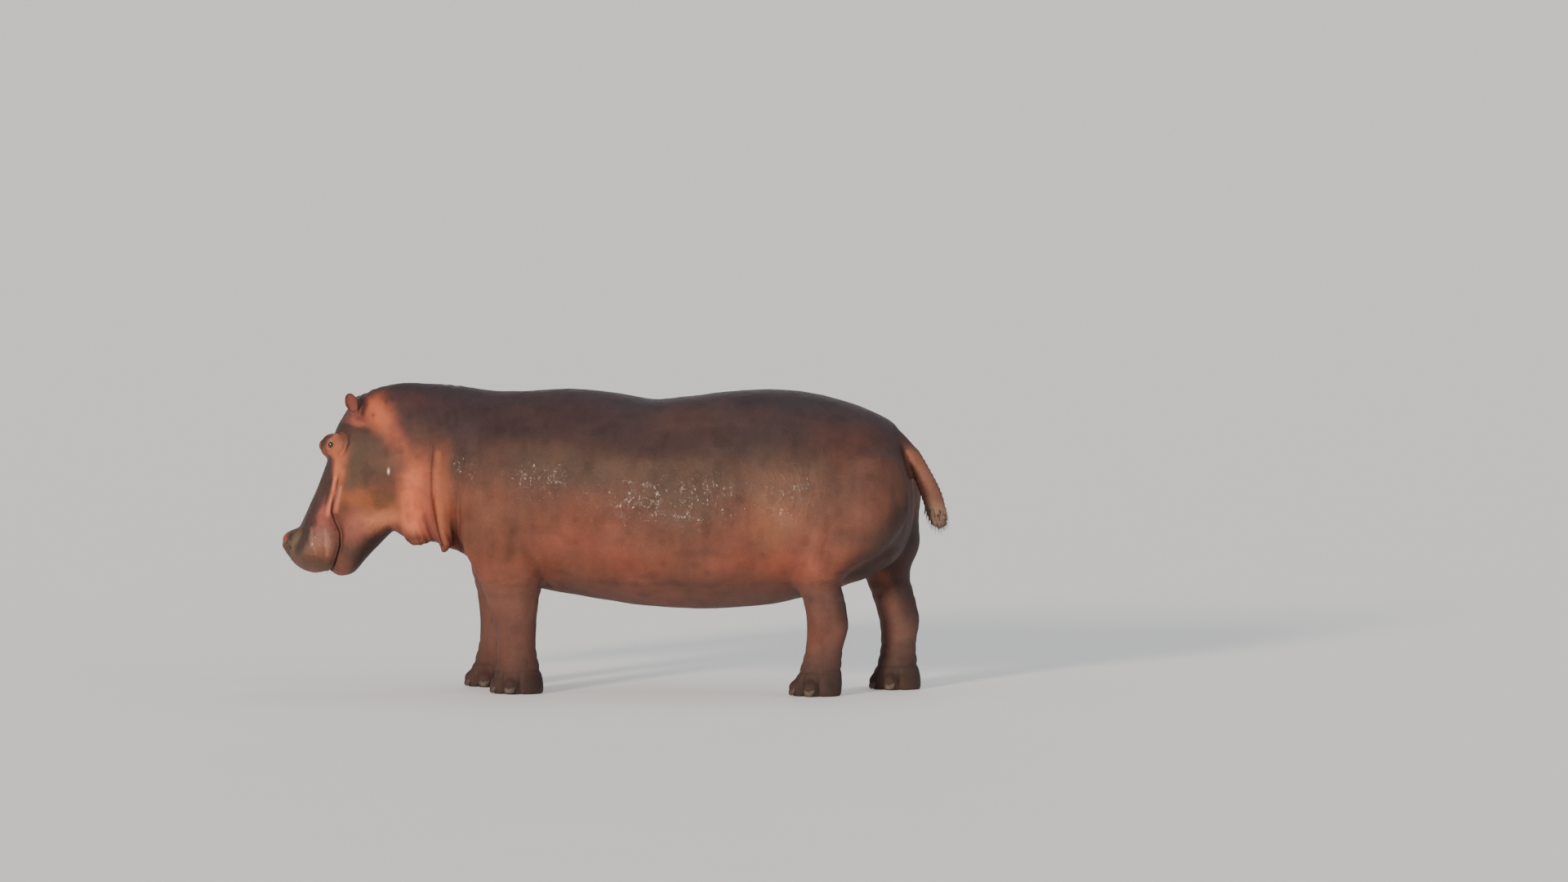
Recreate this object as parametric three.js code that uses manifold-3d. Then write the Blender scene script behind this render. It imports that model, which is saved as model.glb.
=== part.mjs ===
// A hippopotamus, life size, standing with its head lowered and turned a little to its left.
// Millimetres, +Z up. The body lies along X with the head towards -X, so the left side faces -Y.
// Every flesh form is a loft through sections. The forms are joined into one whole animal,
// which thin cuts then part into its named pieces.
import * as THREE from "three";
import { LoftGeometry } from "three/addons/geometries/LoftGeometry.js";
import { mergeVertices } from "three/addons/utils/BufferGeometryUtils.js";
import Module from "manifold-3d";

const wasm = await Module();
wasm.setup();

// ---------- driving dimensions ----------

const CUT_GAP = 1.2; // width of the thin cuts between pieces
const NAIL_GAP = 0.5; // clearance round a nail or an eyeball in the flesh
const LEFT = -1; // the side of the body that faces -Y
const RIGHT = 1;

// Neck and trunk, front to back. mid is the height of the widest point, half the half width there,
// y the sideways bend of the neck, square the exponent of the section (2 is an ellipse).
const TRUNK = [
  { x: -1425, y: -88, mid: 1180, top: 1395, bottom: 960, half: 135, square: 2.1 },
  { x: -1350, y: -75, mid: 1150, top: 1440, bottom: 880, half: 178, square: 2.1 },
  { x: -1270, y: -62, mid: 1125, top: 1462, bottom: 790, half: 220, square: 2.1 },
  { x: -1180, y: -46, mid: 1095, top: 1473, bottom: 722, half: 258, square: 2.1 },
  { x: -1060, y: -26, mid: 1060, top: 1467, bottom: 705, half: 300, square: 2.1 },
  { x: -943, y: -10, mid: 1020, top: 1456, bottom: 660, half: 345, square: 2.1 },
  { x: -786, y: 0, mid: 975, top: 1436, bottom: 570, half: 405, square: 2.15 },
  { x: -610, y: 0, mid: 945, top: 1432, bottom: 500, half: 450, square: 2.2 },
  { x: -393, y: 0, mid: 920, top: 1447, bottom: 455, half: 482, square: 2.2 },
  { x: -180, y: 0, mid: 895, top: 1427, bottom: 425, half: 506, square: 2.2 },
  { x: 0, y: 0, mid: 880, top: 1398, bottom: 405, half: 524, square: 2.25 },
  { x: 180, y: 0, mid: 872, top: 1415, bottom: 395, half: 536, square: 2.25 },
  { x: 380, y: 0, mid: 878, top: 1438, bottom: 398, half: 536, square: 2.25 },
  { x: 570, y: 0, mid: 895, top: 1448, bottom: 415, half: 520, square: 2.2 },
  { x: 760, y: 0, mid: 920, top: 1430, bottom: 455, half: 494, square: 2.2 },
  { x: 920, y: 0, mid: 935, top: 1390, bottom: 505, half: 458, square: 2.2 },
  { x: 1060, y: 0, mid: 935, top: 1338, bottom: 560, half: 405, square: 2.2 },
  { x: 1160, y: 0, mid: 930, top: 1284, bottom: 615, half: 345, square: 2.2 },
  { x: 1245, y: 0, mid: 915, top: 1225, bottom: 665, half: 270, square: 2.2 },
];
const TRUNK_MESH = { around: 20, step: 190, dome: { start: 70, end: 105 } };
const NECK_CUT_X = -928; // the neck ends and the trunk begins here

// The head in its own frame: +X towards the muzzle, +Y to the left, +Z towards the forehead,
// with the origin midway between the eyes.
const HEAD_PLACE = { x: -1561, y: -72, z: 1172, pitchDeg: 70, yawDeg: 14, rollDeg: 3 };
const SKULL = [
  { x: -325, y: 0, mid: -175, top: -85, bottom: -330, half: 165, square: 2.1 },
  { x: -250, y: 0, mid: -175, top: -44, bottom: -345, half: 200, square: 2.1 },
  { x: -170, y: 0, mid: -170, top: -22, bottom: -350, half: 215, square: 2.15 },
  { x: -80, y: 0, mid: -165, top: -8, bottom: -355, half: 222, square: 2.2 },
  { x: 10, y: 0, mid: -160, top: -18, bottom: -350, half: 226, square: 2.3 },
  { x: 95, y: 0, mid: -150, top: -24, bottom: -330, half: 205, square: 2.3 },
  { x: 185, y: 0, mid: -130, top: -24, bottom: -300, half: 168, square: 2.3 },
  { x: 275, y: 0, mid: -118, top: -19, bottom: -270, half: 155, square: 2.4 },
  { x: 355, y: 0, mid: -115, top: -14, bottom: -245, half: 190, square: 2.6 },
  { x: 440, y: 0, mid: -112, top: -4, bottom: -232, half: 222, square: 2.9 },
  { x: 520, y: 0, mid: -108, top: 8, bottom: -228, half: 228, square: 3.0 },
  { x: 604, y: 0, mid: -108, top: 0, bottom: -215, half: 205, square: 2.8 },
];
const SKULL_MESH = { around: 20, step: 74, dome: { start: 70, end: 80 } };
const JAW = [
  { x: -80, y: 0, mid: -300, top: -160, bottom: -478, half: 205, square: 2.1 },
  { x: 40, y: 0, mid: -300, top: -120, bottom: -494, half: 228, square: 2.2 },
  { x: 140, y: 0, mid: -290, top: -90, bottom: -486, half: 224, square: 2.2 },
  { x: 235, y: 0, mid: -280, top: -100, bottom: -456, half: 206, square: 2.2 },
  { x: 330, y: 0, mid: -275, top: -140, bottom: -412, half: 196, square: 2.3 },
  { x: 420, y: 0, mid: -270, top: -180, bottom: -370, half: 204, square: 2.5 },
  { x: 500, y: 0, mid: -265, top: -190, bottom: -338, half: 206, square: 2.6 },
  { x: 575, y: 0, mid: -260, top: -200, bottom: -318, half: 180, square: 2.5 },
];
const JAW_MESH = { around: 16, step: 105, dome: { start: 90, end: 70 } };
// The line where the lower jaw parts from the head, seen from the side, muzzle first.
const MOUTH_LINE = [
  [700, -212],
  [530, -212],
  [440, -205],
  [380, -182],
  [335, -140],
  [300, -112],
  [230, -97],
  [160, -88],
  [95, -80],
  [35, -125],
  [-15, -235],
  [-45, -420],
  [-60, -700],
];
const JAW_GROW = 1.0035; // the head's side of that cut, grown from the jaw's middle

const NAPE_CUT = { at: [-316, 0, -99], turnDeg: 124.5 }; // the plane where the neck takes over

// Mounds on the head: centre, and half sizes along X, Y and Z. Each has a twin on the right.
const ORBIT = { at: [-6, 134, -28], size: [64, 52, 56] };
const NOSTRIL = { at: [492, 104, -14], size: [68, 48, 42] };
const UPPER_LIP = { at: [455, 150, -122], size: [132, 92, 104] };
const CHEEK = { at: [115, 128, -268], size: [235, 100, 186] };
const EYE = { at: [2, 166, -3], radius: 19 };

// Ears: a stalk and a cupped oval blade that opens outwards and forwards.
const EAR = { at: [-172, 165, -62], stalk: 40, length: 108, half: 31, depth: 21 };
const EAR_TURN = { lean: { left: 128, right: 76 }, outDeg: 16, openDeg: 28 }; // degrees

// Jowls of the throat and the loose fold behind them, on both sides, in the body's frame.
const JOWL = { at: [-1105, 165, 835], size: [105, 130, 148] };
const NECK_FOLD = { at: [-976, 228, 890], size: [46, 124, 232] };

// Legs: horizontal sections from the sole up. front and back are places along X,
// out is how far the middle stands from the body's mid plane.
const FORELEG = [
  { z: 0, out: 262, mid: -690, front: -806, back: -570, half: 118, square: 2.3 },
  { z: 62, out: 262, mid: -690, front: -812, back: -568, half: 122, square: 2.2 },
  { z: 135, out: 262, mid: -688, front: -792, back: -578, half: 108, square: 2.1 },
  { z: 230, out: 264, mid: -684, front: -778, back: -584, half: 96, square: 2.1 },
  { z: 340, out: 268, mid: -680, front: -786, back: -572, half: 104, square: 2.1 },
  { z: 460, out: 274, mid: -680, front: -812, back: -546, half: 124, square: 2.1 },
  { z: 580, out: 282, mid: -684, front: -850, back: -512, half: 150, square: 2.1 },
  { z: 700, out: 288, mid: -692, front: -885, back: -490, half: 166, square: 2.1 },
  { z: 830, out: 282, mid: -700, front: -892, back: -500, half: 168, square: 2.1 },
  { z: 980, out: 262, mid: -696, front: -850, back: -530, half: 150, square: 2.1 },
  { z: 1120, out: 235, mid: -690, front: -800, back: -570, half: 120, square: 2.1 },
];
const HINDLEG = [
  { z: 0, out: 276, mid: 985, front: 868, back: 1098, half: 112, square: 2.3 },
  { z: 60, out: 276, mid: 985, front: 862, back: 1100, half: 116, square: 2.2 },
  { z: 130, out: 276, mid: 990, front: 890, back: 1094, half: 100, square: 2.1 },
  { z: 225, out: 276, mid: 1000, front: 912, back: 1096, half: 86, square: 2.1 },
  { z: 330, out: 278, mid: 1012, front: 912, back: 1118, half: 88, square: 2.1 },
  { z: 440, out: 284, mid: 1000, front: 888, back: 1102, half: 104, square: 2.1 },
  { z: 560, out: 292, mid: 980, front: 838, back: 1086, half: 138, square: 2.1 },
  { z: 690, out: 296, mid: 990, front: 775, back: 1196, half: 182, square: 2.1 },
  { z: 830, out: 284, mid: 1000, front: 770, back: 1246, half: 212, square: 2.1 },
  { z: 980, out: 258, mid: 1010, front: 810, back: 1258, half: 214, square: 2.1 },
  { z: 1120, out: 222, mid: 1020, front: 880, back: 1215, half: 190, square: 2.1 },
  { z: 1230, out: 190, mid: 1020, front: 920, back: 1140, half: 150, square: 2.1 },
];
const LEG_MESH = { around: 10, step: 150, dome: { start: 0, end: 110 } };
const CUTTER_MESH = { around: 8, step: 170, dome: { start: 0, end: 110 } };
// How far each leg has stepped: along X at the foot and at knee height. Minus is forwards.
const LEGS = [
  { name: "foreleg_left", form: FORELEG, side: LEFT, foot: 80, knee: 32 },
  { name: "foreleg_right", form: FORELEG, side: RIGHT, foot: -120, knee: -75 },
  { name: "hindleg_left", form: HINDLEG, side: LEFT, foot: -160, knee: -130 },
  { name: "hindleg_right", form: HINDLEG, side: RIGHT, foot: 160, knee: 118 },
];
const KNEE_HEIGHT = 570;
const THIGH_HEIGHT = 800; // above this a step leaves the leg where it is
const LEG_MARGIN = 34; // the cut round a leg runs this far outside it
const LEG_CUT_TOP = 880;

// Toes, as angles round the foot from straight ahead, and the nail on each.
const TOE_ANGLES_DEG = [-78, -27, 27, 78];
const TOE = { out: 88, z: 38, size: [52, 42, 40] };
const NAIL = { out: 126, z: 34, size: [13, 25, 31], leanDeg: 24 };

// Tail: horizontal sections from its tip up.
const TAIL = [
  { z: 788, out: 0, mid: 1376, front: 1345, back: 1412, half: 15, square: 2.0 },
  { z: 850, out: 0, mid: 1362, front: 1316, back: 1410, half: 23, square: 2.0 },
  { z: 950, out: 0, mid: 1334, front: 1284, back: 1384, half: 31, square: 2.0 },
  { z: 1050, out: 0, mid: 1290, front: 1238, back: 1340, half: 39, square: 2.0 },
  { z: 1140, out: 0, mid: 1235, front: 1180, back: 1290, half: 48, square: 2.0 },
  { z: 1210, out: 0, mid: 1185, front: 1120, back: 1240, half: 56, square: 2.0 },
  { z: 1270, out: 0, mid: 1115, front: 1050, back: 1180, half: 60, square: 2.0 },
];
const TAIL_MESH = { around: 8, step: 80, dome: { start: 22, end: 0 } };

// ---------- lofts ----------

const rad = THREE.MathUtils.degToRad;

// One smooth curve through the stations' values, three values at a time.
function smooth(stations, pick) {
  const points = stations.map((s) => new THREE.Vector3(...pick(s)));
  return new THREE.CatmullRomCurve3(points, false, "catmullrom", 0.5);
}

// Where the rings lie, from 0 to length: close together where an end is domed.
function ringPlaces(length, { step, dome }) {
  const domeRings = 3;
  const places = [];
  const arc = (k) => 1 - Math.cos(((k + 0.35) / domeRings) * (Math.PI / 2));
  for (let k = 0; k < domeRings && dome.start; k++) places.push(dome.start * arc(k));
  const clear = length - dome.start - dome.end;
  const steps = Math.max(1, Math.round(clear / step));
  for (let k = 0; k <= steps; k++) places.push(dome.start + (clear * k) / steps);
  for (let k = domeRings - 1; k >= 0 && dome.end; k--) places.push(length - dome.end * arc(k));
  return places;
}

// How much of its full size a section has at a place, where the ends are domed.
function domeShare(place, length, dome) {
  const share = (gap, reach) => (gap < reach ? Math.sqrt(1 - (1 - gap / reach) ** 2) : 1);
  return share(place, dome.start) * share(length - place, dome.end);
}

// A closed loft through stations, which are laid along X (trunk, head) or along Z (legs, tail).
function loft(stations, mesh, grow = 0) {
  const upright = stations[0].z !== undefined;
  const along = upright ? "z" : "x";
  const centre = smooth(stations, (s) => (upright ? [s.mid, s.out, s.z] : [s.x, s.y, s.mid]));
  const sizes = smooth(stations, (s) =>
    upright ? [s.half, s.mid - s.front, s.back - s.mid] : [s.half, s.top - s.mid, s.mid - s.bottom],
  );
  const squares = smooth(stations, (s) => [s.square, 0, 0]);
  const first = stations[0][along];
  const last = stations[stations.length - 1][along];
  const length = last - first;
  // The curve's own parameter at a place along the axis, found by halving.
  const parameterAt = (place) => {
    let [low, high] = [0, 1];
    for (let i = 0; i < 30; i++) {
      const t = (low + high) / 2;
      if (centre.getPoint(t)[along] < first + place) low = t;
      else high = t;
    }
    return (low + high) / 2;
  };
  const sections = ringPlaces(length, mesh).map((place) => {
    const t = parameterAt(place);
    const c = centre.getPoint(t);
    const [half, rise, fall] = sizes.getPoint(t).toArray();
    const power = 2 / squares.getPoint(t).x;
    const share = domeShare(place, length, mesh.dome);
    const ring = [];
    for (let k = 0; k < mesh.around; k++) {
      const angle = (k / mesh.around) * Math.PI * 2;
      const [cos, sin] = [Math.cos(angle), Math.sin(angle)];
      const sideways = Math.sign(cos) * Math.abs(cos) ** power * (half + grow) * share;
      const tall = ((sin > 0 ? rise : fall) + grow) * share;
      const upwards = Math.sign(sin) * Math.abs(sin) ** power * tall;
      ring.push(
        upright
          ? new THREE.Vector3(c.x - upwards, c.y + sideways, first + place)
          : new THREE.Vector3(first + place, c.y + sideways, c.z + upwards),
      );
    }
    return ring;
  });
  return new LoftGeometry(sections, { capStart: true, capEnd: true });
}

// An ellipsoid with its half sizes along X, Y and Z.
function ellipsoid(at, size, round = 10, tall = 6) {
  return new THREE.SphereGeometry(1, round, tall).scale(...size).translate(...at);
}

// ---------- solids ----------

function solid(geometry) {
  const bare = new THREE.BufferGeometry();
  bare.setAttribute("position", geometry.getAttribute("position"));
  bare.setIndex(geometry.getIndex());
  const merged = mergeVertices(bare, 1e-3);
  return new wasm.Manifold(
    new wasm.Mesh({
      numProp: 3,
      vertProperties: merged.attributes.position.array,
      triVerts: new Uint32Array(merged.index.array),
    }),
  );
}

function join(solids) {
  return solids.reduce((whole, one) => whole.add(one));
}

// The largest body of a solid, without the crumbs that a cut can leave.
function mainBody(cut) {
  return cut.decompose().reduce((a, b) => (a.volume() > b.volume() ? a : b));
}

function geometryOf(made) {
  const { vertProperties, triVerts, numProp } = made.getMesh();
  const position = new Float32Array((vertProperties.length / numProp) * 3);
  for (let i = 0; i < position.length / 3; i++) {
    position.set(vertProperties.subarray(i * numProp, i * numProp + 3), i * 3);
  }
  const geometry = new THREE.BufferGeometry();
  geometry.setAttribute("position", new THREE.BufferAttribute(position, 3));
  geometry.setIndex(new THREE.BufferAttribute(triVerts, 1));
  geometry.computeVertexNormals();
  return geometry;
}

// Everything on one side of a plane through a point, as a large block. turn is about Y.
function halfSpace(point, turnDeg, direction, matrix = new THREE.Matrix4(), shift = 0) {
  const far = 5000;
  const block = new THREE.BoxGeometry(far, far, far).translate(direction * (far / 2 + shift), 0, 0);
  block.rotateY(rad(turnDeg)).translate(...point).applyMatrix4(matrix);
  return solid(block);
}

const BOTH = [LEFT, RIGHT];
const NAMES = ["left", "right"];
const SIDE_Y = { left: 1, right: -1 }; // in the head's own frame
const across = (at, side) => [at[0], at[1] * side, at[2]];

// ---------- head ----------

const headMatrix = (() => {
  const { x, y, z, pitchDeg, yawDeg, rollDeg } = HEAD_PLACE;
  const turn = new THREE.Matrix4().makeRotationZ(rad(180 + yawDeg));
  const roll = new THREE.Matrix4().makeRotationX(rad(rollDeg));
  const nod = new THREE.Matrix4().makeRotationY(rad(pitchDeg));
  return new THREE.Matrix4().makeTranslation(x, y, z).multiply(turn).multiply(roll).multiply(nod);
})();

function headFlesh() {
  const mounds = [ORBIT, NOSTRIL, UPPER_LIP, CHEEK];
  const bulges = mounds.flatMap((m) => BOTH.map((side) => solid(ellipsoid(across(m.at, side), m.size))));
  return join([solid(loft(SKULL, SKULL_MESH)), solid(loft(JAW, JAW_MESH)), ...bulges])
    .transform(headMatrix.elements);
}

// The lower jaw's share of the head: an outline seen from the side, pushed through the head.
function jawRegion(grow) {
  const [middleX, middleZ, width] = [330, -360, 900];
  const corners = MOUTH_LINE.map(
    ([x, z]) => new THREE.Vector2(middleX + (x - middleX) * grow, middleZ + (z - middleZ) * grow),
  );
  const outline = new THREE.Shape([...corners, new THREE.Vector2(700, -700)]);
  const block = new THREE.ExtrudeGeometry(outline, { depth: width, bevelEnabled: false });
  return solid(block.rotateX(Math.PI / 2).translate(0, width / 2, 0)).transform(headMatrix.elements);
}

// The ear's blade and stalk, in the head's frame.
function earParts(name, grow = 0) {
  const { at, stalk, length, half, depth } = EAR;
  const side = SIDE_Y[name];
  const blade = ellipsoid([0, 0, length / 2 + 6], [depth + grow, half + grow, length / 2 + grow]);
  const root = ellipsoid([0, 0, 0], [depth * 0.8 + grow, half * 0.62 + grow, stalk + grow], 7, 4);
  const place = new THREE.Matrix4()
    .makeTranslation(...across(at, side))
    .multiply(new THREE.Matrix4().makeRotationX(rad(-EAR_TURN.outDeg * side)))
    .multiply(new THREE.Matrix4().makeRotationY(rad(EAR_TURN.lean[name] + 180)))
    .multiply(new THREE.Matrix4().makeRotationZ(rad(EAR_TURN.openDeg * side)));
  return { whole: join([solid(blade), solid(root)]).transform(place.elements), place };
}

function ear(name) {
  const { length, half, depth } = EAR;
  const { whole, place } = earParts(name);
  const cup = ellipsoid([depth * 0.75, 0, length / 2 + 14], [depth * 1.1, half * 0.74, length * 0.37], 8, 4);
  return whole.subtract(solid(cup).transform(place.elements)).transform(headMatrix.elements);
}

function eyeball(name, grow = 0) {
  const r = EYE.radius + grow;
  return solid(ellipsoid(across(EYE.at, SIDE_Y[name]), [r, r, r], 9, 6)).transform(headMatrix.elements);
}

// ---------- legs ----------

// The leg's stations, stepped forwards or back and set out on its side of the body.
function steppedStations({ form, side, foot, knee }) {
  return form.map((s) => {
    const share = THREE.MathUtils.smoothstep(THIGH_HEIGHT - s.z, 0, THIGH_HEIGHT - KNEE_HEIGHT);
    const low = THREE.MathUtils.clamp((KNEE_HEIGHT - s.z) / KNEE_HEIGHT, 0, 1);
    const step = knee * share + (foot - knee) * low;
    return { ...s, out: s.out * side, mid: s.mid + step, front: s.front + step, back: s.back + step };
  });
}

function toePlaces(leg) {
  const sole = steppedStations(leg)[0];
  return TOE_ANGLES_DEG.map((angle) => {
    const turn = new THREE.Matrix4().makeRotationZ(rad(180 + angle));
    return new THREE.Matrix4().makeTranslation(sole.mid, sole.out, 0).multiply(turn);
  });
}

function legFlesh(leg) {
  const toes = toePlaces(leg).map((place) =>
    solid(ellipsoid([TOE.out, 0, TOE.z], TOE.size, 6, 4)).transform(place.elements),
  );
  const ground = halfSpace([0, 0, 0], -90, 1);
  return join([solid(loft(steppedStations(leg), LEG_MESH)), ...toes]).intersect(ground);
}

function nail(place, grow = 0) {
  const size = NAIL.size.map((s) => s + grow);
  const shape = ellipsoid([0, 0, 0], size, 6, 4).rotateY(rad(-NAIL.leanDeg)).translate(NAIL.out, 0, NAIL.z);
  const floor = halfSpace([0, 0, 2 - grow], -90, 1);
  return solid(shape).transform(place.elements).intersect(floor);
}

// The body of a leg, with room round it, up to the height where it is cut from the trunk.
function legCutter(leg, gap) {
  const stations = steppedStations(leg);
  const foot = new THREE.CylinderGeometry(175, 175, 440, 8).rotateX(Math.PI / 2);
  foot.translate(stations[0].mid, stations[0].out, -70);
  const under = halfSpace([0, 0, LEG_CUT_TOP + gap], 90, 1);
  return join([solid(loft(stations, CUTTER_MESH, LEG_MARGIN + gap)), solid(foot)]).intersect(under);
}

// ---------- the whole animal, then its pieces ----------

const body = join([
  solid(loft(TRUNK, TRUNK_MESH)),
  headFlesh(),
  ...BOTH.map((side) => solid(ellipsoid(across(JOWL.at, side), JOWL.size))),
  ...BOTH.map((side) => solid(ellipsoid(across(NECK_FOLD.at, side), NECK_FOLD.size))),
  ...LEGS.map(legFlesh),
]);

const pieces = new Map();

// Legs first, each with its nails let into the toes.
let rest = body;
for (const leg of LEGS) {
  let flesh = mainBody(body.intersect(legCutter(leg, 0)));
  toePlaces(leg).forEach((place, i) => {
    flesh = flesh.subtract(nail(place, NAIL_GAP));
    pieces.set(leg.name + "_nail_" + (i + 1), { made: nail(place), kind: "nail" });
  });
  pieces.set(leg.name, { made: mainBody(flesh), kind: "flesh" });
  rest = rest.subtract(legCutter(leg, CUT_GAP));
}

// Then the tail, the trunk, the neck and the head.
const tailSocket = solid(loft(TRUNK, TRUNK_MESH, CUT_GAP));
const atNeckCut = (direction) => halfSpace([NECK_CUT_X, 0, 0], 0, direction, undefined, CUT_GAP / 2);
const front = rest.intersect(atNeckCut(-1));
const atNape = (direction) => halfSpace(NAPE_CUT.at, NAPE_CUT.turnDeg, direction, headMatrix, CUT_GAP / 2);
const ears = join(NAMES.map((name) => earParts(name, CUT_GAP).whole)).transform(headMatrix.elements);
pieces.set("tail", { made: mainBody(solid(loft(TAIL, TAIL_MESH)).subtract(tailSocket)), kind: "flesh" });
pieces.set("trunk", { made: mainBody(rest.intersect(atNeckCut(1))), kind: "flesh" });
pieces.set("neck", { made: mainBody(front.intersect(atNape(1)).subtract(ears)), kind: "flesh" });

let head = front.intersect(atNape(-1)).subtract(ears);
pieces.set("lower_jaw", { made: mainBody(head.intersect(jawRegion(1))), kind: "flesh" });
head = head.subtract(jawRegion(JAW_GROW));
for (const name of NAMES) {
  pieces.set("ear_" + name, { made: mainBody(ear(name)), kind: "flesh" });
  pieces.set("eye_" + name, { made: eyeball(name), kind: "eye" });
  head = head.subtract(eyeball(name, NAIL_GAP));
}
pieces.set("head", { made: mainBody(head), kind: "flesh" });

// ---------- materials and scene ----------

const MATERIALS = {
  flesh: new THREE.MeshStandardMaterial({ color: 0x7a4f45, roughness: 0.5, metalness: 0 }),
  nail: new THREE.MeshStandardMaterial({ color: 0x55443c, roughness: 0.45, metalness: 0 }),
  eye: new THREE.MeshStandardMaterial({ color: 0x1b100c, roughness: 0.08, metalness: 0 }),
};

const hippopotamus = new THREE.Group();
for (const [name, { made, kind }] of pieces) {
  const mesh = new THREE.Mesh(geometryOf(made), MATERIALS[kind]);
  mesh.name = name;
  hippopotamus.add(mesh);
}

// The origin is on the ground under the middle of the animal's box.
const box = new THREE.Box3().setFromObject(hippopotamus);
const middle = box.getCenter(new THREE.Vector3());
hippopotamus.position.set(-middle.x, -middle.y, -box.min.z);

export default hippopotamus;
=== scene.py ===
"""A life-size hippopotamus standing with lowered head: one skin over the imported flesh, with wet
eyes, toenails and sparse bristles.

Sizes are millimetres in the animal's own frame, with the ground at Z = 0, the head towards -X and
the left side facing -Y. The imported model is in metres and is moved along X, by Place.shift.
"""

import logging
import math
from dataclasses import dataclass, field
from enum import Enum

import bmesh
import bpy
import numpy as np
from mathutils import Matrix, Vector


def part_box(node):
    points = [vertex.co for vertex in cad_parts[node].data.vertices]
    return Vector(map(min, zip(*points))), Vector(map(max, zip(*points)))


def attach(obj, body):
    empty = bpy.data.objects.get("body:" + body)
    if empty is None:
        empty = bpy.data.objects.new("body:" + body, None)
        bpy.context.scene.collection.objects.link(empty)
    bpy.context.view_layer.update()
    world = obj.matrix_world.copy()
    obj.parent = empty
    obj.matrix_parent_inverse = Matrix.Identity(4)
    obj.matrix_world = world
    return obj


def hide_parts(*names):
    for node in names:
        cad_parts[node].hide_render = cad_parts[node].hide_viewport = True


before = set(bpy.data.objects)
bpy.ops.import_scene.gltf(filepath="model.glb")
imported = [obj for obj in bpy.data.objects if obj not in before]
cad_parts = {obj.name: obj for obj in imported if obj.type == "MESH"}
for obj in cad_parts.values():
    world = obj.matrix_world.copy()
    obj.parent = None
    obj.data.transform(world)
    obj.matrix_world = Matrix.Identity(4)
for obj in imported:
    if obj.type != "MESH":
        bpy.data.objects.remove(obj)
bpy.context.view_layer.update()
log = logging.getLogger("hippopotamus")

MM = 0.001
TAU = 2 * math.pi
TUFT_PATCH = 0.003
TUFT_CORNERS = {3: ((0, 0), (1, 0), (0.5, 1)), 4: ((0, 0), (1, 0), (1, 1), (0, 1))}
HAIR_RING = ((1, 0), (-0.5, 0.866), (-0.5, -0.866))


class Side(Enum):
    """The animal's own sides, as the sign of Y on that side."""

    LEFT = -1
    RIGHT = 1


# ---------------------------------------------------------------- numbers and fields


def smooth_step(low: float, high: float, value: np.ndarray) -> np.ndarray:
    """Rises smoothly from 0 at low to 1 at high.

    Args:
        low: where the rise starts.
        high: where the rise ends; it may be below low, for a fall.
        value: the values to map.

    Returns:
        The mapped values.
    """
    t = np.clip((value - low) / (high - low), 0.0, 1.0)
    return t * t * (3.0 - 2.0 * t)


class Noise:
    """Smooth repeatable noise on a lattice."""

    def __init__(self, seed: int) -> None:
        """Fills the lattice from the seed."""
        self.grid = np.random.default_rng(seed).uniform(-1.0, 1.0, (64, 64, 64))

    def at(self, points: np.ndarray, size: float | tuple[float, float, float]) -> np.ndarray:
        """Noise at points.

        Args:
            points: N by 3 places.
            size: the size of one wave, alike or along X, Y and Z.

        Returns:
            N values from -1 to 1.
        """
        place = points / np.asarray(size)
        cell = np.floor(place).astype(np.int64)
        part = place - cell
        part = part * part * (3.0 - 2.0 * part)
        total = np.zeros(len(points))
        for corner in range(8):
            step = np.array([corner & 1, corner >> 1 & 1, corner >> 2])
            share = np.prod(np.where(step, part, 1.0 - part), axis=1)
            i, j, k = ((cell + step) & 63).T
            total += share * self.grid[i, j, k]
        return total


def oval(points: np.ndarray, at: tuple, size: tuple) -> np.ndarray:
    """How far each point lies from an ellipsoid's centre, where 1 is its surface."""
    return np.linalg.norm((points - np.array(at)) / np.array(size), axis=1)


def mirrored(points: np.ndarray) -> np.ndarray:
    """Points with both sides laid on +Y."""
    return points * np.array([1.0, 0.0, 1.0]) + np.abs(points) * np.array([0.0, 1.0, 0.0])


def to_line(points: np.ndarray, line: np.ndarray) -> tuple[np.ndarray, np.ndarray]:
    """Distance from flat points to a line of straight pieces, and how far along it each lies.

    Args:
        points: N by 2 places.
        line: M by 2 corners.

    Returns:
        The N distances, and N places along the line counted in corners.
    """
    best = np.full(len(points), 1e9)
    along = np.zeros(len(points))
    for i in range(len(line) - 1):
        a, d = line[i], line[i + 1] - line[i]
        t = np.clip(((points - a) @ d) / (d @ d), 0.0, 1.0)
        away = np.hypot(*(points - a - t[:, None] * d).T)
        near = away < best
        best[near], along[near] = away[near], i + t[near]
    return best, along


def along_line(points: np.ndarray, corners: tuple) -> tuple[np.ndarray, np.ndarray]:
    """Distance from flat points to a line, and the line's own value at the place nearest to each.

    Args:
        points: N by 2 places.
        corners: for each corner its two places and its value.

    Returns:
        The N distances and the N values.
    """
    rows = np.array(corners)
    away, along = to_line(points, rows[:, :2])
    return away, np.interp(along, np.arange(len(rows)), rows[:, 2])


# ---------------------------------------------------------------- the animal's frame


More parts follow.
